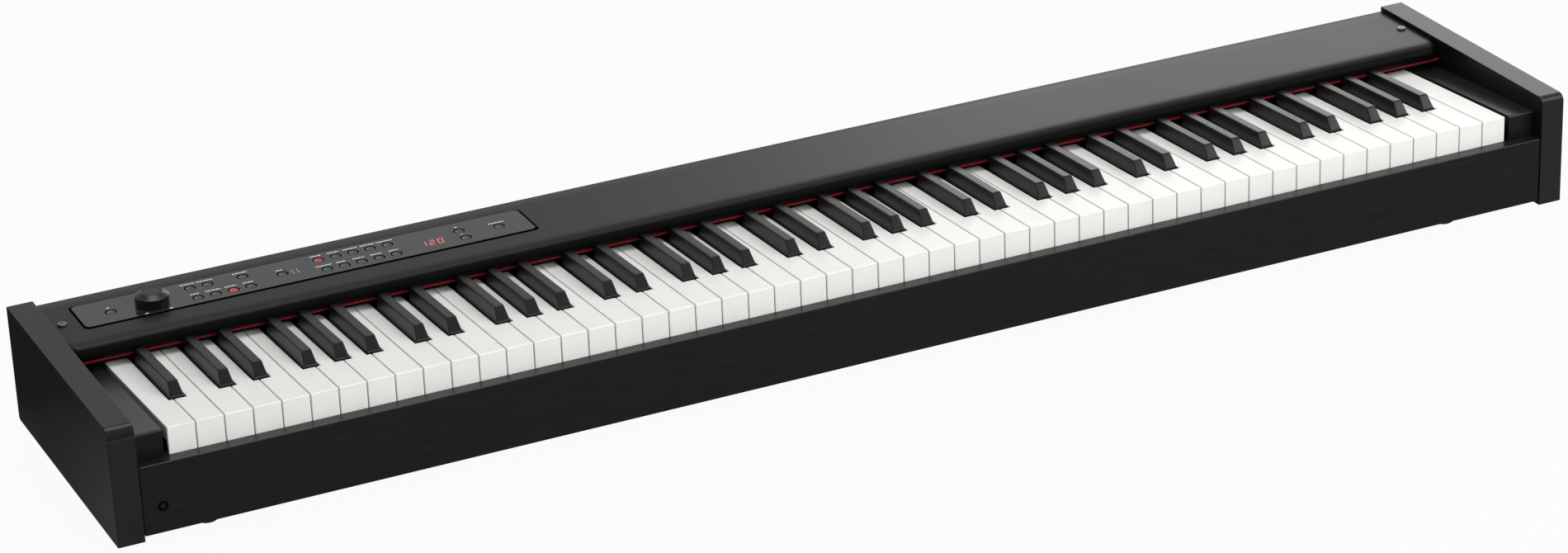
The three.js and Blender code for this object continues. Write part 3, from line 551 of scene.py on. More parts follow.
def turned(profile, steps, centre=(0, 0, 0), caps=True, axis="Z"):
    """A profile of (radius, height) points carried round an axis"""
    profile = np.asarray(profile, float)
    ring = circle(1.0, steps)
    rings = [lay(ring * radius, height, axis) for radius, height in profile]
    points, faces = skin(rings, caps)
    return points + np.asarray(centre, float), faces


def arc_profile(centre, radius, start, end, steps):
    """Points of an arc in a profile, from one angle in degrees to another"""
    t = np.radians(np.linspace(start, end, steps + 1))
    return np.stack([centre[0] + radius * np.cos(t), centre[1] + radius * np.sin(t)], 1)


def on_keys(shell):
    """A shell in the keys' own frame, laid at the rest tilt on the pivot: y and z turn about the pivot
    axis"""
    points, faces = shell
    c, s = math.cos(KEY_TILT), math.sin(KEY_TILT)
    x, y, z = points.T
    return np.stack([x, PIVOT_Y + y * c + z * s, PIVOT_Z - y * s + z * c], 1), faces


def merged(shells):
    """Several closed shells as one mesh"""
    counts = np.cumsum([0] + [len(points) for points, _ in shells])
    faces = [[i + start for i in face] for (_, some), start in zip(shells, counts) for face in some]
    return np.concatenate([points for points, _ in shells]), faces


def piece(name, shells, body, finish, replaces=(), smooth_angle=40.0):
    """A finished piece: its mesh, its material, the body that it rides on and the nodes that it stands
    for"""
    points, faces = merged(shells)
    mesh = bpy.data.meshes.new(name)
    mesh.from_pydata(points * MM + np.array(CORNER), [], faces)
    mesh.polygons.foreach_set("use_smooth", np.ones(len(mesh.polygons), bool))
    mesh.set_sharp_from_angle(angle=math.radians(smooth_angle))
    mesh.materials.append(finish)
    mesh.update()
    made = bpy.data.objects.new(name, mesh)
    bpy.context.scene.collection.objects.link(made)
    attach(made, body)
    if replaces:
        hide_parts(*replaces)
    return made


def rounded_edges(made, width, segments=3):
    """Rounds every sharp edge and keeps the flats flat"""
    bevel = made.modifiers.new("edges", "BEVEL")
    bevel.width = width
    bevel.segments = segments
    bevel.limit_method = "ANGLE"
    bevel.angle_limit = math.radians(30)
    bevel.harden_normals = True
    bevel.use_clamp_overlap = True


def as_sheet(made, thickness, edge):
    """Gives a surface its thickness inwards, in millimetres, and rounds its edges"""
    wall = made.modifiers.new("sheet", "SOLIDIFY")
    wall.thickness = thickness * MM
    wall.offset = -1
    rounded_edges(made, edge * MM, 2)


def even_normals(made):
    """Weighs normals by face area, so that flat faces shade flat beside their rounded edges"""
    even = made.modifiers.new("normals", "WEIGHTED_NORMAL")
    even.mode = "FACE_AREA"
    even.weight = 100
    even.keep_sharp = True


def dress(node, finish, edge=0.0):
    """Gives a carried-over node a better material and, where asked, small rounded edges in millimetres"""
    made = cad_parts[node]
    made.data.materials.clear()
    made.data.materials.append(finish)
    if edge:
        weld = made.modifiers.new("weld", "WELD")
        weld.merge_threshold = 1e-6
        rounded_edges(made, edge * MM, 2)


def map_grain(made):
    """A map for wood grain: u runs along the depth on faces that look sideways or up, and along the height
    on faces that look forwards or back. v runs across u. The attribute side is one on faces that look
    sideways."""
    mesh = made.data
    corner = np.empty(len(mesh.loops), np.int32)
    mesh.loops.foreach_get("vertex_index", corner)
    point = np.empty(len(mesh.vertices) * 3, np.float32)
    mesh.vertices.foreach_get("co", point)
    point = point.reshape(-1, 3)[corner]
    facing = np.empty(len(mesh.polygons) * 3, np.float32)
    mesh.polygons.foreach_get("normal", facing)
    total = np.empty(len(mesh.polygons), np.int32)
    mesh.polygons.foreach_get("loop_total", total)
    facing = np.repeat(np.abs(facing.reshape(-1, 3)).argmax(1), total)
    u = np.where(facing == 1, point[:, 2], point[:, 1])
    v = np.where(facing == 0, point[:, 2], point[:, 0])
    mesh.uv_layers.new(name="grain").data.foreach_set("uv", np.stack([u, v], 1).ravel())
    mesh.attributes.new("side", "FLOAT", "CORNER").data.foreach_set("value", (facing == 0).astype(np.float32))


def compact(points, faces):
    """Leaves out the points that no face uses"""
    used, flat = np.unique(np.concatenate([np.asarray(f) for f in faces]), return_inverse=True)
    ends = np.cumsum([len(f) for f in faces])[:-1]
    return points[used], [part.tolist() for part in np.split(flat.ravel(), ends)]


def loop_round(index, r0, r1, c0, c1):
    """The net's points round a block of cells, anticlockwise from its lower left"""
    return np.concatenate([index[r0, c0:c1], index[r0:r1, c1], index[r1, c1:c0:-1], index[r1:r0:-1, c0]])


def round_off(points, core, radius):
    """Points moved to a radius from the nearest point of a core rectangle (x0, x1, y0, y1)"""
    nearest = np.stack([np.clip(points[:, 0], *core[:2]), np.clip(points[:, 1], *core[2:])], 1)
    away = points[:, :2] - nearest
    return nearest + away * radius / np.linalg.norm(away, axis=1, keepdims=True)


def pierced(points, level, openings, rim=None):
    """A net of points with openings: round each, a block of cells is left out, and a ring of faces leads
    from the block to the curve at a radius from a core rectangle. An opening gives its first and last row,
    its first and last column, the core and the radius. A rim (core, radius) puts one more such ring outside
    the net."""
    rows, columns = points.shape[:2]
    points = points.reshape(-1, 3)
    index = np.arange(rows * columns).reshape(rows, columns)
    cells = np.stack([index[:-1, :-1], index[:-1, 1:], index[1:, 1:], index[1:, :-1]], -1)
    keep = np.ones(cells.shape[:2], bool)
    rings = []
    for r0, r1, c0, c1, core, radius in openings:
        keep[r0:r1, c0:c1] = False
        rings.append((loop_round(index, r0, r1, c0, c1), core, radius, 1))
    if rim:
        rings.append((loop_round(index, 0, rows - 1, 0, columns - 1), *rim, -1))
    faces, edges, count = cells[keep].tolist(), [points], len(points)
    for loop, core, radius, order in rings:
        edges.append(np.column_stack([round_off(points[loop], core, radius), np.full(len(loop), level)]))
        outer, inner = (loop, np.arange(len(loop)) + count)[::order]
        faces += np.stack([outer, np.roll(outer, -1), np.roll(inner, -1), inner], 1).tolist()
        count += len(loop)
    return compact(np.concatenate(edges), faces)


# Case

# Radii of an end panel's corners: lower front, lower rear, upper rear, and the nose at the upper front
END_CORNERS = (0.8, 4.0, 0.8, 7.0)
RAIL_EDGE = 0.9


def end_panel(name, x0, sizes, finish):
    """A side outline with a rounded nose, pushed across the thickness"""
    outline = rounded([(0, 0), (END_DEPTH, 0), (END_DEPTH, END_HEIGHT), (0, END_HEIGHT)], END_CORNERS, 8)
    board = prism(outline, x0, x0 + END_THICK, sizes.case_edge / MM, "X", 4)
    made = piece(name, [board], "case", finish, [name.replace("_board", "_panel")])
    map_grain(made)
    even_normals(made)


def case_boards(sizes, coat):
    end_panel("left_end_board", 0.0, sizes, coat["end_foil"])
    end_panel("right_end_board", BODY_WIDTH - END_THICK, sizes, coat["end_foil"])
    board = slab(*span("front_rail"), RAIL_EDGE, "X", 4)
    even_normals(piece("rail_board", [board], "case", coat["foil"], ["front_rail"]))
    for node in ("left_cheek_block", "right_cheek_block"):
        dress(node, coat["cheek"], 0.5)
    dress("bottom_board", coat["foil"], 0.8)
    dress("rear_panel", coat["foil"])


# Cover

# The air at the cover's ends, and the radius of its front corners in plan
COVER_GAP = 0.5
COVER_CORNER = 9.0
COVER_THICK = 2.8
NOSE_STRETCH = 1.45
NOSE_FLAT = COVER_FRONT + 24.0
LIP_RADIUS, LIP_LENGTH = 2.0, 8.0
# The opening for the panel: left, right, front and rear. The net leaves out its cells up to the margin.
HOLE = (44.7, 439.5, 191.9, 241.1)
HOLE_CORNER = 5.0
HOLE_MARGIN = 4.0


def cover_line(sizes):
    """The cover's outer line as (y, z), from the front up to the flat top: a return lip, a small arc, a
    straight fall and a quarter of an ellipse that is longer than it is high"""
    high = sizes.nose_radius / MM
    long = NOSE_STRETCH * high
    t = np.radians(np.linspace(0, 90, 13))
    nose = np.stack([COVER_FRONT + long - long * np.cos(t), COVER_TOP - high + high * np.sin(t)], 1)
    lip = arc_profile((COVER_FRONT + LIP_RADIUS, COVER_LOW + LIP_RADIUS), LIP_RADIUS, 270, 180, 5)
    return np.concatenate([[(COVER_FRONT + LIP_LENGTH, COVER_LOW)], lip, nose[:-1]])


def cover_sheet(sizes, coat):
    """A sheet over rows that follow the cover's line and columns across it, with an opening for the panel,
    towards whose rounded corners the rows and columns stand at even angles. Near both ends its front turns
    back by R - sqrt(R^2 - (R - d)^2), where d is the distance to the end, which rounds the corners in
    plan."""
    x0, x1 = END_THICK + COVER_GAP, BODY_WIDTH - END_THICK - COVER_GAP
    near = COVER_CORNER * (1 - np.cos(np.linspace(0, math.pi / 2, 9)))
    turn = (HOLE_CORNER + HOLE_MARGIN) * np.tan(np.radians([0, 11.25, 22.5, 33.75, 45])) - HOLE_CORNER
    xs = np.sort(np.concatenate([x0 + near, HOLE[0] - turn, np.linspace(60, 420, 25), HOLE[1] + turn,
                                 np.linspace(465, 1280, 34), x1 - near]))
    ys = np.concatenate([[NOSE_FLAT - 8.0], HOLE[2] - turn[::-1], [205.0, 217.0, 229.0], HOLE[3] + turn])
    front = cover_line(sizes)
    rear = [(COVER_REAR - 1.0, COVER_TOP), (COVER_REAR - 0.3, COVER_TOP - 0.3), (COVER_REAR, COVER_TOP - 1.0),
            (COVER_REAR, COVER_TOP - 2.6)]
    line = np.concatenate([front, np.stack([ys, np.full(len(ys), COVER_TOP)], 1), rear])
    inward = np.minimum(np.minimum(xs - x0, x1 - xs), COVER_CORNER)
    back = COVER_CORNER - np.sqrt(np.maximum(COVER_CORNER ** 2 - (COVER_CORNER - inward) ** 2, 0))
    follow = np.clip((NOSE_FLAT - line[:, 0]) / (NOSE_FLAT - COVER_FRONT - 14.0), 0, 1)
    depths = line[:, :1] + follow[:, None] * back[None]
    points = np.stack(np.broadcast_arrays(xs[None], depths, line[:, 1:]), -1)
    block = np.array(grown(HOLE, HOLE_MARGIN)) - 0.01
    columns = np.searchsorted(xs, block[:2])
    rows = len(front) + np.searchsorted(ys, block[2:])
    opening = (*rows, *columns, grown(HOLE, -HOLE_CORNER), HOLE_CORNER)
    made = piece("cover_sheet", [pierced(points, COVER_TOP, [opening])], "case", coat["cover"],
                 ["top_cover"])
    as_sheet(made, COVER_THICK, 0.4)


# Control panel

PLATE = (46.8, 437.3, 195.3, 239.6)
PLATE_TOP = COVER_TOP + 0.4
PLATE_CORNER = 4.4
PLATE_MARGIN = 2.6
PLATE_THICK = 2.2
TRAY_TOP = COVER_TOP - 3.0
KNOB = (108.3, 213.6)
SHAFT_HOLE = 3.8
CAP_HOLE = 4.95
HOLE_EDGE = 0.8
FRONT_ROW, MIDDLE_ROW, REAR_ROW = 205.4, 214.8, 226.6
FUNCTION_XS = [144.3 + 15.1 * n for n in range(4)]
VOICE_XS = [255.5 + 15.2 * n for n in range(5)]
GROUPS = {
    "power_button": [(73.4, MIDDLE_ROW)],
    "function_buttons": [*((x, FRONT_ROW) for x in FUNCTION_XS),
                         *((FUNCTION_XS[n], REAR_ROW) for n in (0, 1, 3))],
    "bank_button": [(220.1, MIDDLE_ROW)],
    "voice_buttons": [(x, y) for y in (FRONT_ROW, REAR_ROW) for x in VOICE_XS],
    "tempo_buttons": [(378.6, 222.7), (378.6, 207.3), (411.5, MIDDLE_ROW)],
}
CAP_PLACES = [place for places in GROUPS.values() for place in places]
LIT = {("function_buttons", 2), ("voice_buttons", 5)}


def panel_plate(finish):
    """A sheet over a net of cells of 1.25 by 1 mm, which are finer along its border, with a round hole for
    each cap and for the knob's shaft, and a rounded outline"""
    near = np.array([0, 0.4, 0.8, 1.25, 1.8])
    x0, x1, y0, y1 = grown(PLATE, -PLATE_MARGIN)
    xs = np.concatenate([x0 + near, np.arange(x0 + 3.0, x1 - 2.6, 1.25), x1 - near[::-1]])
    ys = np.concatenate([y0 + near, np.arange(y0 + 2.6, y1 - 2.2, 1.0), y1 - near[::-1]])
    openings = []
    for x, y, radius in [(x, y, CAP_HOLE) for x, y in CAP_PLACES] + [(*KNOB, SHAFT_HOLE)]:
        reach = radius + HOLE_EDGE
        columns = np.searchsorted(xs, [x - reach, x + reach]) - (1, 0)
        rows = np.searchsorted(ys, [y - reach, y + reach]) - (1, 0)
        openings.append((*rows, *columns, (x, x, y, y), radius))
    points = np.stack(np.broadcast_arrays(xs[None], ys[:, None], PLATE_TOP), -1)
    sheet = pierced(points, PLATE_TOP, openings, (grown(PLATE, -PLATE_CORNER), PLATE_CORNER))
    made = piece("panel_plate", [sheet], "case", finish, ["control_panel"])
    as_sheet(made, PLATE_THICK, 0.18)


# Lengths of the printed marks behind the buttons, in the buttons' order
MARK_LENGTHS = {
    "power_button": [2.6],
    "function_buttons": [8.0, 13.0, 10.0, 9.0, 12.5, 14.0, 12.5],
    "bank_button": [6.5],
    "voice_buttons": [14.5, 9.0, 11.0, 10.0, 8.5, 9.5, 10.0, 12.5, 13.0, 14.6],
    "tempo_buttons": [2.2, 2.2, 14.0],
}
MARK_BEHIND = 7.9
# Start from the knob's shaft, and length, of the marks round the knob
KNOB_MARKS = ((8.9, -16.5, 3.0), (-11.8, -16.8, 3.0), (-9.0, 21.0, 3.4), (-4.6, 21.0, 9.0))
# How a printed mark lies: under and over its face, its edge and its width
SINK, RISE, MARK_EDGE, MARK_WIDTH = 0.05, 0.03, 0.02, 1.2
DASHES = (1.9, 1.2, 2.6, 1.5, 2.2)
DASH_GAP = 0.45


def dashes(x, wide, n):
    """Starts and lengths of the dashes of a printed mark centred at x, in a rhythm of short and long"""
    at, end, parts = x - wide / 2, x + wide / 2, []
    while at < end - 0.9:
        dash = min(DASHES[(n + int(at)) % len(DASHES)], end - at)
        parts.append((at, dash))
        at += dash + DASH_GAP
    return parts


def printed_marks(finish):
    """Dashed bars behind the buttons, and marks round the knob"""
    bars = [(KNOB[0] + dx, KNOB[1] + dy, long) for dx, dy, long in KNOB_MARKS]
    for group, places in GROUPS.items():
        for n, ((x, y), wide) in enumerate(zip(places, MARK_LENGTHS[group])):
            bars += [(at, y + MARK_BEHIND, dash) for at, dash in dashes(x, wide, n)]
    half, levels = MARK_WIDTH / 2, (PLATE_TOP - SINK, PLATE_TOP + RISE)
    shells = [slab((x, x + long), (y - half, y + half), levels, MARK_EDGE, steps=1) for x, y, long in bars]
    piece("printed_marks", shells, "case", finish)


def panel_tray(finish):
    """Near-black painted shade: a tray under the plate, a line round the plate, a collar in each cap's hole
    """
    # Painted shade: these pieces stand in for the dark of the gaps round the plate and the caps
    tray = prism(rectangle(grown(HOLE, 0.9), 5.5, 8), TRAY_TOP - 1.2, TRAY_TOP, 0.2, "Z")
    foot, brim = TRAY_TOP - 0.1, PLATE_TOP - 0.1
    outer = rectangle(grown(PLATE, 0.35), PLATE_CORNER + 0.35, 8)
    inner = inset(outer, 0.32)
    groove_shade_line = [(outer, foot), (outer, PLATE_TOP - 0.12), (inner, PLATE_TOP - 0.05), (inner, foot)]
    wide, narrow = CAP_HOLE - 0.02, CAP_HOLE - 0.3
    collar = [(wide, foot), (wide, brim), (narrow, brim), (narrow, foot)]
    collars = [turned(collar, 32, (x, y, 0), False) for x, y in CAP_PLACES]
    piece("panel_tray", [tray, *collars, skin([lay(line, z, "Z") for line, z in groove_shade_line], False)],
          "case", finish)


# Two columns of three diodes: the first one's place, and the steps across and back
DIODES, DIODE_STEPS = (228.6, 211.2), (4.6, 3.2)
# A tempo on the display: the first digit's lower left, the step between digits, their width without the
# lean, a bar's width, the lean and the gap at each end of a bar
TEMPO = "120"
DIGITS, DIGIT_STEP, DIGIT_WIDTH, BAR, LEAN, BAR_GAP = (340.0, 207.4), 7.6, 4.0, 0.62, 0.14, 0.25
SEGMENTS = {"0": "abcdef", "1": "bc", "2": "abged"}


def seven_segments(digit, x, tall):
    """The bars of a seven-segment digit: six-sided bars on the sides of two stacked squares, sheared to
    lean"""
    wide, half, mid = DIGIT_WIDTH, BAR / 2, tall / 2
    ends = {"a": ((0, tall), (wide, tall)), "b": ((wide, mid), (wide, tall)), "c": ((wide, 0), (wide, mid)),
            "d": ((0, 0), (wide, 0)), "e": ((0, 0), (0, mid)), "f": ((0, mid), (0, tall)),
            "g": ((0, mid), (wide, mid))}
    shells = []
    for name in SEGMENTS[digit]:
        a, b = (np.array(end, float) for end in ends[name])
        along = (b - a) / np.linalg.norm(b - a)
        side = np.array([-along[1], along[0]]) * half
        a, b = a + along * BAR_GAP, b - along * BAR_GAP
        hexagon = np.array([a, a + along * half - side, b - along * half - side, b, b - along * half + side,
                            a + along * half + side])
        hexagon[:, 0] += hexagon[:, 1] * LEAN
        shells.append(prism(hexagon + (x, DIGITS[1]), PLATE_TOP - 0.1, PLATE_TOP + 0.05, 0.02, "Z", 1))
    return shells


def control_panel(sizes, coat):
    """The plate, its marks, the tray under it, the diodes and the digits"""
    panel_plate(coat["panel"])
    printed_marks(coat["marks"])
    panel_tray(coat["void"])
    lens = [(0.62, PLATE_TOP - 0.1), (0.62, PLATE_TOP + 0.1), (0.4, PLATE_TOP + 0.22)]
    shells = [turned(lens, 12, (DIODES[0] + DIODE_STEPS[0] * i, DIODES[1] + DIODE_STEPS[1] * j, 0))
              for i in range(2) for j in range(3)]
    piece("bank_diodes", shells, "case", coat["diode"])
    tall = sizes.digit_height / MM - 0.9
    shells = [bar for n, digit in enumerate(TEMPO)
              for bar in seven_segments(digit, DIGITS[0] + DIGIT_STEP * n, tall)]
    piece("lit_digits", shells, "case", coat["digit"])


# The radius of a cap's shoulder and the depth of its dish
SHOULDER, DISH_DEPTH = 0.5, 0.9


def button_caps(sizes, coat):
    """Round caps that end above the tray by more than their travel: a straight side, a rounded shoulder and
    a dish whose depth below the rim is D (1 - (x / R)^2) at a distance x from the middle"""
    r = sizes.cap_radius / MM
    top, rim = PLATE_TOP - 0.1, r - SHOULDER
    shoulder = arc_profile((rim, top - SHOULDER), SHOULDER, 0, 90, 4)
    across = np.linspace(0.92, 0.06, 7) * rim
    dish = np.stack([across, top - DISH_DEPTH * (1 - (across / rim) ** 2)], 1)
    profile = np.concatenate([[(r, COVER_TOP - 2.1)], shoulder, dish])
    for group, places in GROUPS.items():
        for n, (x, y) in enumerate(places):
            finish = coat["lit" if (group, n) in LIT else "cap"]
            even_normals(piece(f"{group}_cap_{n + 1}", [turned(profile, 32, (x, y, 0))], group, finish,
                               [group]))


# Volume knob

def volume_knob(sizes, coat):
    """A straight skirt, a wide cone and a flat face with a fine groove, turned about the shaft"""
    r = sizes.knob_radius / MM
    foot, skirt, top = PLATE_TOP + 0.2, COVER_TOP + 8.2, COVER_TOP + 11.0
    lower = [(3.0, foot - 3.0), (3.0, foot + 0.6), (r - 0.6, foot + 0.6), (r - 0.4, foot),
             (r - 0.1, foot + 0.1), (r, foot + 0.5)]
    upper = [(r, skirt - 0.25), (r - 0.12, skirt), (r - 0.4, skirt + 0.15), (8.95, top - 0.1), (8.6, top)]
    face = [(8.3, top - 0.05), (8.15, top - 0.35), (7.9, top - 0.35), (7.7, top - 0.15), (3.0, top - 0.12),
            (0.4, top - 0.12)]
    made = piece("knob_shell", [turned(lower + upper + face, 96, (*KNOB, 0))], "volume_knob", coat["knob"],
                 ["volume_knob"])
    even_normals(made)
    low, high = (r - 0.9, skirt + 0.31), (9.3, top - 0.14)
    line = np.array([(-0.4, *low), (-0.4, *high), (0.4, *high), (0.4, *low)]) + (*KNOB, 0)
    piece("knob_mark", [skin([line - (0, 0, 0.3), line])], "volume_knob", coat["marks"])


# Keys

def key_places():
    """The pitch, then for each white key its place, place in the octave, octave and left edge, and the
    middle of the sharp to its right. Each group's semitones are evenly spaced: three naturals share five,
    four share seven."""
    pitch = (KEYS_RIGHT - KEYS_LEFT) / WHITES
    n = np.arange(WHITES)
    place = (n + 5) % 7
    low = place < 3
    k = np.where(low, place, place - 3)
    step = np.where(low, 3 / 5, 4 / 7) * pitch
    middle = KEYS_LEFT + (n - k) * pitch + (2 * k + 1.5) * step
    has_sharp = (k != np.where(low, 2, 3)) & (n != WHITES - 1)
    return pitch, n, place, (n + 5) // 7, KEYS_LEFT + n * pitch, np.where(has_sharp, middle, np.nan)


KEY_SETS = {0: "A0_to_B1", 1: "A0_to_B1", 2: "C2_to_B3", 3: "C2_to_B3", 5: "C5_to_B6", 6: "C5_to_B6",
            7: "C7_to_C8", 8: "C7_to_C8"}


def body_of_key(colour, letter, octave):
    """The body that carries a key: its own in the middle octave, and its set's elsewhere"""
    if octave == 4:
        return f"key_{letter}{'_sharp' if colour == 'black' else ''}4"
    return f"{colour}_keys_{KEY_SETS[octave]}"


# In the keys' own frame, from the pivot axis: the front of the white keys and the rear of all, the level
# and the thickness of a white key's top, the length of its head, the height of its front, and the plan's
# notch at a sharp
KEY_FRONT, KEY_REAR = -213.6, -2.6
KEY_TOP, KEY_THICK = 9.5, 13.0
KEY_BOTTOM = KEY_TOP - KEY_THICK
HEAD_LENGTH = 54.0
FACE_HEIGHT = 28.0
NOTCH = 14.6


def white_key_shell(x0, x1, t0, t1):
    """A white key in its own frame: a plan with a full-width head and a tail between its sharps, pushed
    down by the key's thickness, with a lip below its front"""
    lean = FACE_HEIGHT * math.tan(KEY_TILT)
    face = KEY_FRONT + lean
    lip, head_end = face + 3.5, KEY_FRONT + HEAD_LENGTH - 1.2
    plan = np.array([(x0, KEY_FRONT), (x1, KEY_FRONT), (x1, lip), (x1, head_end), (t1, head_end),
                     (t1, KEY_REAR), (t0, KEY_REAR), (t0, head_end), (x0, head_end), (x0, lip)])
    plan = plan[np.abs(plan - np.roll(plan, 1, 0)).sum(1) > 1e-6]
    count = len(plan)
    upper = np.column_stack([plan, np.full(count, KEY_TOP)])
    lower = np.column_stack([plan, np.full(count, KEY_BOTTOM)])
    lower[:2, 1] += lean * KEY_THICK / FACE_HEIGHT
    foot = np.array([(x0, face), (x1, face), (x1, lip), (x0, lip)])
    foot = np.column_stack([foot, np.full(4, KEY_TOP - FACE_HEIGHT)])
    top = np.arange(count)
    mid = top + count
    a, b, c, d = range(2 * count, 2 * count + 4)
    walls = np.stack([mid, np.roll(mid, -1), np.roll(top, -1), top], 1).tolist()
    last = 2 * count - 1
    faces = [top.tolist(), mid[2:][::-1].tolist(), *walls, [a, b, count + 1, count],
             [b, c, count + 2, count + 1], [c, d, last, count + 2], [d, a, count, last], [a, d, c, b]]
    return np.concatenate([upper, lower, foot]), faces


def white_keys(sizes, coat):
    pitch, n, place, octave, left, middle = key_places()
    half_gap = sizes.key_gap / MM / 2
    x0, x1 = left + half_gap, left + pitch - half_gap
    before = np.concatenate([[np.nan], middle[:-1]])
    t0 = np.fmax(x0, before + NOTCH / 2)
    t1 = np.fmin(x1, middle - NOTCH / 2)
    for i in n:
        letter = NATURALS[place[i]]
        body = body_of_key("white", letter, octave[i])
        shell = on_keys(white_key_shell(x0[i], x1[i], t0[i], t1[i]))
        made = piece(f"white_{letter}{octave[i]}", [shell], body, coat["white"], [body])
        rounded_edges(made, sizes.key_edge)


# A black key: its front and rear, its height over the white tops, half its widest width, and how far its
# front slopes back up to the crown
BLACK_FRONT, BLACK_REAR = KEY_FRONT + HEAD_LENGTH, -68.6
BLACK_HEIGHT = 12.0
BLACK_HALF = 6.1
SLOPE_RUN = 7.6
# A black key's foot as rings: height over the white tops, and how far sides and front stand in from the
# widest
FOOT_RINGS = np.array([(-KEY_THICK, 0.0, 0.0), (0.7, 0.0, 0.0), (1.0, 0.12, 0.12), (1.15, 0.42, 0.5),
                       (1.35, 0.62, 0.8)])


def black_key_shell(x, top_width, crown):
    """A black key in its own frame: rounded rectangles stacked from the foot up. From the foot's last ring
    to the crown, the sides close in evenly and the front goes back as the height to the power 1.08. A
    quarter arc of the crown's radius closes the top."""
    rise, sides, ahead = FOOT_RINGS.T
    low, inner, start = FOOT_RINGS[-1]
    half, top_half, slope_top = BLACK_HALF, top_width / 2, BLACK_HEIGHT - crown
    taper = np.linspace(0.06, 1, 5)
    t = np.radians(np.linspace(15, 90, 6))
    level = KEY_TOP + np.concatenate([rise, low + (slope_top - low) * taper, slope_top + crown * np.sin(t)])
    width = np.concatenate([half - sides, half - inner + (top_half - half + inner) * taper,
                            top_half - crown * (1 - np.cos(t))])
    ahead = np.concatenate([ahead, start + (SLOPE_RUN - start) * taper ** 1.08,
                            SLOPE_RUN + crown * 1.2 * (1 - np.cos(t))])
    rings = [lay(rectangle((x - w, x + w, BLACK_FRONT + a, BLACK_REAR), min(0.9, w * 0.3), 3), z, "Z")
             for z, w, a in zip(level, width, ahead)]
    tail = slab((x - 5.0, x + 5.0), (BLACK_REAR - 3.5, KEY_REAR), (KEY_BOTTOM, KEY_TOP), 0.4)
    return [on_keys(skin(rings)), on_keys(tail)]


def black_keys(sizes, coat):
    _, n, place, octave, _, middle = key_places()
    for i in n[~np.isnan(middle)]:
        letter = NATURALS[place[i]]
        body = body_of_key("black", letter, octave[i])
        shells = black_key_shell(middle[i], sizes.black_top / MM, sizes.black_crown / MM)
        name = f"black_{letter}_sharp{octave[i]}"
        even_normals(piece(name, shells, body, coat["black"], [body], 50.0))


FELT_HEIGHT = 2.0


def felt_strip(coat):
    """A roll of felt along the upper edge of a near-black strip that paints the shade below it"""
    across, (front, rear), (low, high) = span("key_felt_strip")
    seam = high - FELT_HEIGHT
    felt = slab(across, (front, rear), (seam, high), 0.6, "X", 4)
    even_normals(piece("red_felt_strip", [felt], "case", coat["felt"], ["key_felt_strip"]))
    # Painted shade: a near-black strip fills the felt's lower part
    painted_shade_strip = slab(across, (front + 0.9, rear), (low, seam + 0.1), 0.1, "X")
    piece("felt_painted_shade_strip", [painted_shade_strip], "case", coat["void"])


# Sockets, screws, feet and the action

PHONES = (39.2, 0, 26.8)
REAR_FACE = 257.0
# Depths of the board's two faces, and the radius on which the pins of a round socket stand
BOARD = (244.0, 245.6)
PIN_CIRCLE = 4.1
SOCKET_XS = [190.0 + 34.0 * n for n in range(6)]
SOCKET_Z = 38.0
# Lengths of the marks over the rear sockets, and their lower and upper edge
REAR_MARKS = (10.0, 6.5, 6.5, 8.0, 9.5, 8.0)
REAR_MARK_LEVELS = (50.0, 50.0 + MARK_WIDTH)


def socket_ring(centre, outer, bore, low, high):
    """A collar with a bore, turned about the Y axis: up the outside, over a rounded lip and down the
    bore"""
    lip = min(0.5, (outer - bore) / 3)
    side = 1 if high > low else -1
    profile = [(bore, low), (outer, low), (outer, high - side * lip), (outer - lip, high), (bore + lip, high),
               (bore, high - side * lip)]
    return turned(profile[::side], 40, centre, caps=False, axis="Y")


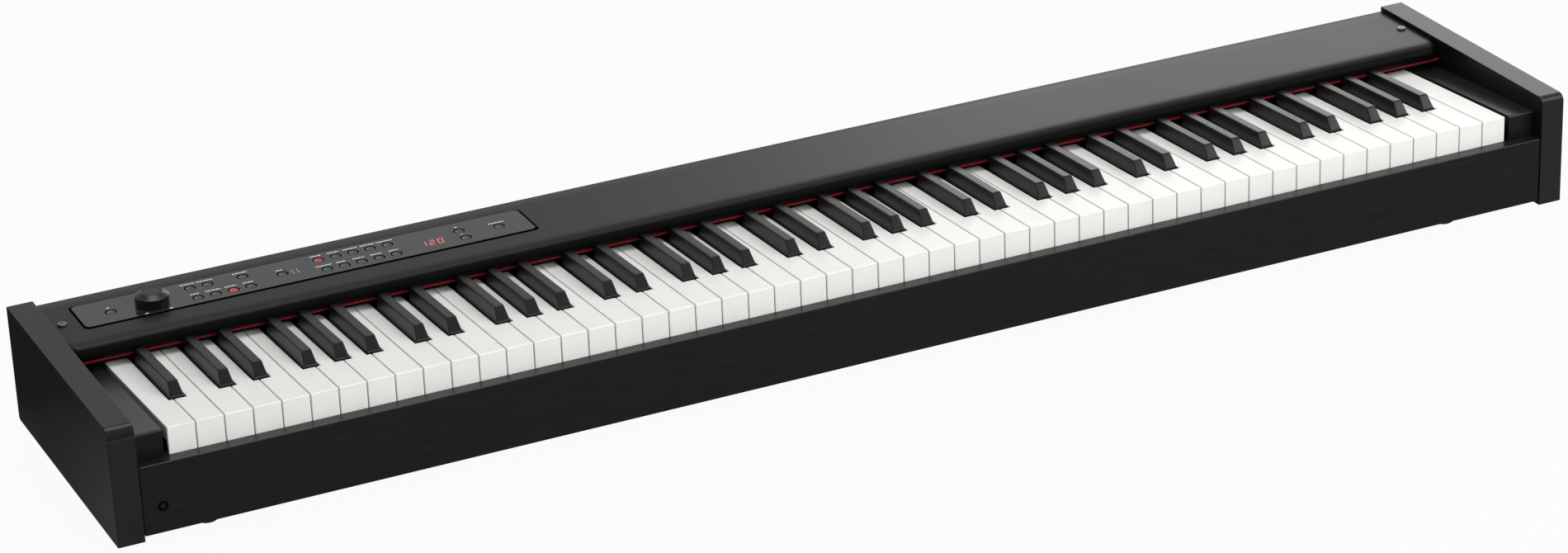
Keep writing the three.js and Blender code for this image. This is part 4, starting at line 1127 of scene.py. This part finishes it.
def sockets(coat):
    """The headphone socket, and at the rear three plug sockets with nuts, two round ones with five pins
    each and a low-voltage inlet, all on one board, with a printed mark over each"""
    collar = socket_ring(PHONES, 4.6, 2.0, 16.0, 0.45)
    even_normals(piece("phones_collar", [collar], "case", coat["void"], ["headphone_socket"]))
    piece("phones_contact", [socket_ring(PHONES, 2.0, 1.75, 15.0, 1.6)], "case", coat["steel"])
    board = slab((160.0, 430.0), BOARD, (17.0, 60.0), 0.2, "Y")
    piece("socket_board", [board], "case", coat["solder"], ["main_circuit_board"])
    nut = [(4.8, REAR_FACE + 0.1), (6.9, REAR_FACE + 0.1), (6.9, REAR_FACE + 2.2), (6.3, REAR_FACE + 2.7),
           (5.2, REAR_FACE + 2.7), (4.8, REAR_FACE + 2.3)]
    pin = [(0.55, 255.0), (0.55, 255.35), (0.3, 255.35)]
    print_depths = (REAR_FACE - SINK, REAR_FACE + RISE)
    bodies, collars, nuts, plugs, marks = [], [], [], [], []
    for n, x in enumerate(SOCKET_XS):
        middle = (x, 0, SOCKET_Z)
        bodies.append(slab((x - 7, x + 7), (BOARD[1], 253.7), (SOCKET_Z - 7, SOCKET_Z + 7), 0.5, "Y"))
        marks += [slab((at, at + dash), print_depths, REAR_MARK_LEVELS, MARK_EDGE, "Y", 1)
                  for at, dash in dashes(x, REAR_MARKS[n], n)]
        if n < 3:
            collars.append(socket_ring(middle, 4.7, 3.25, 246.0, 262.8))
            nuts.append(turned(nut, 6, middle, caps=False, axis="Y"))
        elif n < 5:
            plugs += [socket_ring(middle, 7.9, 6.2, 250.0, REAR_FACE + 0.5),
                      turned([(6.15, 252.0), (6.15, 255.2), (0.4, 255.2)], 40, middle, axis="Y")]
            for a in np.radians([0, 45, 90, 135, 180]):
                place = (x + PIN_CIRCLE * math.cos(a), 0, SOCKET_Z - PIN_CIRCLE * math.sin(a))
                collars.append(turned(pin, 10, place, axis="Y"))
        else:
            plugs.append(socket_ring(middle, 3.9, 2.85, 250.0, REAR_FACE + 0.4))
            collars.append(turned([(0.95, 247.0), (0.95, 256.4), (0.5, 256.9)], 14, middle, axis="Y"))
    piece("socket_bodies", bodies, "case", coat["socket"])
    piece("socket_collars", collars, "case", coat["steel"])
    piece("socket_nuts", nuts, "case", coat["steel"], smooth_angle=25.0)
    piece("plug_sockets", plugs, "case", coat["socket"])
    piece("rear_marks", marks, "case", coat["marks"])


# The cover's screws: their heads, their shanks, and where they stand in from the ends and behind the front
HEAD_RADIUS = 4.0
SHANK_RADIUS, SHANK_LENGTH = 1.7, 12.0
SCREW_IN, SCREW_Y = 31.4, 211.0
REAR_SCREW_XS = (60.0, 300.0, 560.0, 820.0, 1080.0, 1267.0)
REAR_SCREW_ZS = (24.0, 84.0)


def cross_screw(x):
    """A low domed head round a cross-shaped recess, which narrows downwards. At angle t, the cross reaches
    as far as |cos 2t| cubed, which has four arms."""
    ring = circle(1.0, 48)
    turn = np.arange(48) * FULL_TURN / 48
    t = np.linspace(0, math.pi / 2, 5)
    dome = np.stack([HEAD_RADIUS - 0.5 * (1 - np.cos(t)), 0.35 + 1.25 * np.sin(t)], 1)
    cross = ring * (0.42 + 1.35 * np.abs(np.cos(2 * turn)) ** 3)[:, None]
    lines = [(ring * SHANK_RADIUS, -SHANK_LENGTH), (ring * SHANK_RADIUS, 0.3), (ring * HEAD_RADIUS, 0.3)]
    lines += [(ring * r, z) for r, z in dome] + [(ring * (HEAD_RADIUS - 1.1), 1.62)]
    lines += [(cross * 1.08, 1.62), (cross, 1.5), (cross * 0.6, 0.7)]
    points, faces = skin([lay(line, z, "Z") for line, z in lines])
    return points + np.array([x, SCREW_Y, COVER_TOP]), faces


def screws_and_feet(coat):
    for side, x in (("left", SCREW_IN), ("right", BODY_WIDTH - SCREW_IN)):
        node = f"{side}_cover_screw"
        piece(f"{side}_screw_head", [cross_screw(x)], "case", coat["nickel"], [node])
    head = [(1.2, REAR_FACE - 0.5), (3.1, REAR_FACE + 0.05), (3.1, REAR_FACE + 0.5), (2.6, REAR_FACE + 1.3),
            (1.5, REAR_FACE + 1.7), (1.2, REAR_FACE + 1.2), (0.3, REAR_FACE + 1.1)]
    heads = [turned(head, 24, (x, 0, z), axis="Y") for x in REAR_SCREW_XS for z in REAR_SCREW_ZS]
    piece("rear_panel_screws", heads, "case", coat["nickel"])
    for node in ("front_left_foot", "front_right_foot", "rear_left_foot", "rear_right_foot"):
        dress(node, coat["rubber"], 0.6)


def action(coat):
    dress("key_chassis", coat["zinc"])
    dress("key_pivot_rod", coat["steel"])
    for node in ("key_contact_board", "panel_circuit_board"):
        dress(node, coat["solder"])
    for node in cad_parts:
        if node.startswith("hammer_"):
            dress(node, coat["hammer"])


# Studio

# Name, place, aim, watts, width and height, and whether gloss and whether matt surfaces take its light
LAMPS = (
    ("overhead_lamp", (0.1, 0.15, 3.0), (0.0, 0.0, 0.1), 41.0, (2.4, 1.0), True, True),
    ("front_fill", (0.9, -3.6, 1.7), (0.1, 0.0, 0.1), 120.0, (2.4, 2.0), False, True),
    ("right_lamp", (2.4, -1.6, 2.2), (0.2, 0.0, 0.1), 26.0, (1.4, 1.0), True, True),
    ("back_lamp", (3.0, 3.0, 1.55), (0.3, 0.0, 0.1), 30.5, (3.0, 1.2), True, False),
)
# Left, right, front, rear and height of the stage's sheets, in metres
FLOOR = (-14.0, 14.0, -14.0, 14.0, 0.0)
CARD = (-1.6, -0.67, -0.08, 1.6, 0.001)
CAMERA = (-1.4815, -3.1478, 1.6252)
AZIMUTH, ELEVATION, ROLL = math.radians(-24.743), math.radians(24.396), math.radians(-2.2545)
FOCAL_LENGTH, SENSOR_WIDTH = 103.64, 36.0


def stage_sheet(name, x0, x1, y0, y1, z, finish):
    """A level sheet that belongs to the stage"""
    mesh = bpy.data.meshes.new(name)
    mesh.from_pydata([(x0, y0, z), (x1, y0, z), (x1, y1, z), (x0, y1, z)], [], [(0, 1, 2, 3)])
    mesh.materials.append(finish)
    made = bpy.data.objects.new(name, mesh)
    bpy.context.scene.collection.objects.link(made)
    return made


def surroundings(scene):
    """A world that lights the object dimly and shows white to the camera, and pale to gloss"""
    scene.world = bpy.data.worlds.new("studio")
    sky = Shader(scene.world)
    dim = sky.node("ShaderNodeBackground", None, {"Color": (0.95, 0.97, 1.0, 1.0), "Strength": 0.3})
    white = sky.node("ShaderNodeBackground", None, {"Color": (1.0, 1.0, 1.0, 1.0), "Strength": 1.0})
    sky.end("World Output", sky.seen(1.0, 0.55), dim, white)


def place_camera(scene):
    """The photograph's camera: raised from looking straight down, turned about the vertical, and rolled"""
    lens = bpy.data.cameras.new("photo_camera")
    lens.lens = FOCAL_LENGTH
    lens.sensor_width = SENSOR_WIDTH
    camera = bpy.data.objects.new("photo_camera", lens)
    scene.collection.objects.link(camera)
    aim = Matrix.Rotation(AZIMUTH, 4, "Z") @ Matrix.Rotation(math.pi / 2 - ELEVATION, 4, "X")
    camera.matrix_world = Matrix.Translation(CAMERA) @ aim @ Matrix.Rotation(ROLL, 4, "Z")
    scene.camera = camera


def studio(scene, coat):
    """White floor with a black card that only gloss sees at the left end, pale surroundings, soft lamps and
    the camera"""
    scene.view_settings.view_transform = "Standard"
    stage_sheet("studio_floor", *FLOOR, coat["floor"])
    card = stage_sheet("gloss_card", *CARD, coat["card"])
    card.visible_camera = card.visible_diffuse = card.visible_shadow = card.visible_transmission = False
    surroundings(scene)
    for name, spot, aim, power, size, gloss, matt in LAMPS:
        lamp = bpy.data.lights.new(name, "AREA")
        lamp.shape = "RECTANGLE"
        lamp.size, lamp.size_y = size
        lamp.energy = power
        made = bpy.data.objects.new(name, lamp)
        scene.collection.objects.link(made)
        made.visible_glossy = gloss
        made.visible_diffuse = matt
        made.location = spot
        made.rotation_euler = (Vector(aim) - Vector(spot)).to_track_quat("-Z", "Y").to_euler()
    place_camera(scene)


# Add-on

class Step:
    """What every building step shares"""
    bl_options = {"REGISTER", "UNDO"}


class PIANO_OT_studio(Step, bpy.types.Operator):
    """Builds the floor, the lamps and the camera"""
    bl_idname = "piano.studio"
    bl_label = "Studio"

    def execute(self, context):
        studio(context.scene, finishes(context))
        return {"FINISHED"}


class PIANO_OT_case(Step, bpy.types.Operator):
    """Builds the end panels and the rail, and finishes the other boards"""
    bl_idname = "piano.case"
    bl_label = "Case"

    def execute(self, context):
        case_boards(context.scene.piano_sizes, finishes(context))
        return {"FINISHED"}


class PIANO_OT_cover(Step, bpy.types.Operator):
    """Builds the cover sheet with its rounded nose and the opening for the panel"""
    bl_idname = "piano.cover"
    bl_label = "Cover"

    def execute(self, context):
        cover_sheet(context.scene.piano_sizes, finishes(context))
        return {"FINISHED"}


class PIANO_OT_panel(Step, bpy.types.Operator):
    """Builds the panel plate, its marks, its diodes and the red digits"""
    bl_idname = "piano.panel"
    bl_label = "Control panel"

    def execute(self, context):
        control_panel(context.scene.piano_sizes, finishes(context))
        return {"FINISHED"}


class PIANO_OT_buttons(Step, bpy.types.Operator):
    """Builds the button caps"""
    bl_idname = "piano.buttons"
    bl_label = "Buttons"

    def execute(self, context):
        button_caps(context.scene.piano_sizes, finishes(context))
        return {"FINISHED"}


class PIANO_OT_knob(Step, bpy.types.Operator):
    """Builds the volume knob and its index mark"""
    bl_idname = "piano.knob"
    bl_label = "Volume knob"

    def execute(self, context):
        volume_knob(context.scene.piano_sizes, finishes(context))
        return {"FINISHED"}


class PIANO_OT_white_keys(Step, bpy.types.Operator):
    """Builds the 52 white keys"""
    bl_idname = "piano.white_keys"
    bl_label = "White keys"

    def execute(self, context):
        white_keys(context.scene.piano_sizes, finishes(context))
        return {"FINISHED"}


class PIANO_OT_black_keys(Step, bpy.types.Operator):
    """Builds the 36 black keys"""
    bl_idname = "piano.black_keys"
    bl_label = "Black keys"

    def execute(self, context):
        black_keys(context.scene.piano_sizes, finishes(context))
        return {"FINISHED"}


class PIANO_OT_felt(Step, bpy.types.Operator):
    """Builds the felt strip behind the keys"""
    bl_idname = "piano.felt"
    bl_label = "Felt"

    def execute(self, context):
        felt_strip(finishes(context))
        return {"FINISHED"}


class PIANO_OT_sockets(Step, bpy.types.Operator):
    """Builds the headphone socket and the rear sockets"""
    bl_idname = "piano.sockets"
    bl_label = "Sockets"

    def execute(self, context):
        sockets(finishes(context))
        return {"FINISHED"}


class PIANO_OT_hardware(Step, bpy.types.Operator):
    """Builds the screws and finishes the feet"""
    bl_idname = "piano.hardware"
    bl_label = "Screws and feet"

    def execute(self, context):
        screws_and_feet(finishes(context))
        return {"FINISHED"}


class PIANO_OT_action(Step, bpy.types.Operator):
    """Finishes the chassis, the boards and the hammers inside"""
    bl_idname = "piano.action"
    bl_label = "Action"

    def execute(self, context):
        action(finishes(context))
        return {"FINISHED"}


STEPS = [PIANO_OT_studio, PIANO_OT_case, PIANO_OT_cover, PIANO_OT_panel, PIANO_OT_buttons, PIANO_OT_knob,
         PIANO_OT_white_keys, PIANO_OT_black_keys, PIANO_OT_felt, PIANO_OT_sockets, PIANO_OT_hardware,
         PIANO_OT_action]


class PIANO_PT_sidebar(bpy.types.Panel):
    """Lists the building steps and the sizes and colours"""
    bl_idname = "PIANO_PT_sidebar"
    bl_label = "Stage Piano"
    bl_space_type = "VIEW_3D"
    bl_region_type = "UI"
    bl_category = "Piano"

    def draw(self, context):
        for kind in STEPS:
            self.layout.operator(kind.bl_idname)
        for group in (context.scene.piano_sizes, context.scene.piano_colours):
            for name in group.__annotations__:
                self.layout.prop(group, name)


CLASSES = [PianoSizes, PianoColours, *STEPS, PIANO_PT_sidebar]


def register():
    for kind in CLASSES:
        bpy.utils.register_class(kind)
    bpy.types.Scene.piano_sizes = bpy.props.PointerProperty(type=PianoSizes)
    bpy.types.Scene.piano_colours = bpy.props.PointerProperty(type=PianoColours)


def unregister():
    del bpy.types.Scene.piano_sizes
    del bpy.types.Scene.piano_colours
    for kind in reversed(CLASSES):
        bpy.utils.unregister_class(kind)


def main():
    register()
    for kind in STEPS:
        getattr(bpy.ops.piano, kind.bl_idname.split(".")[1])()


if __name__ == "__main__":
    main()
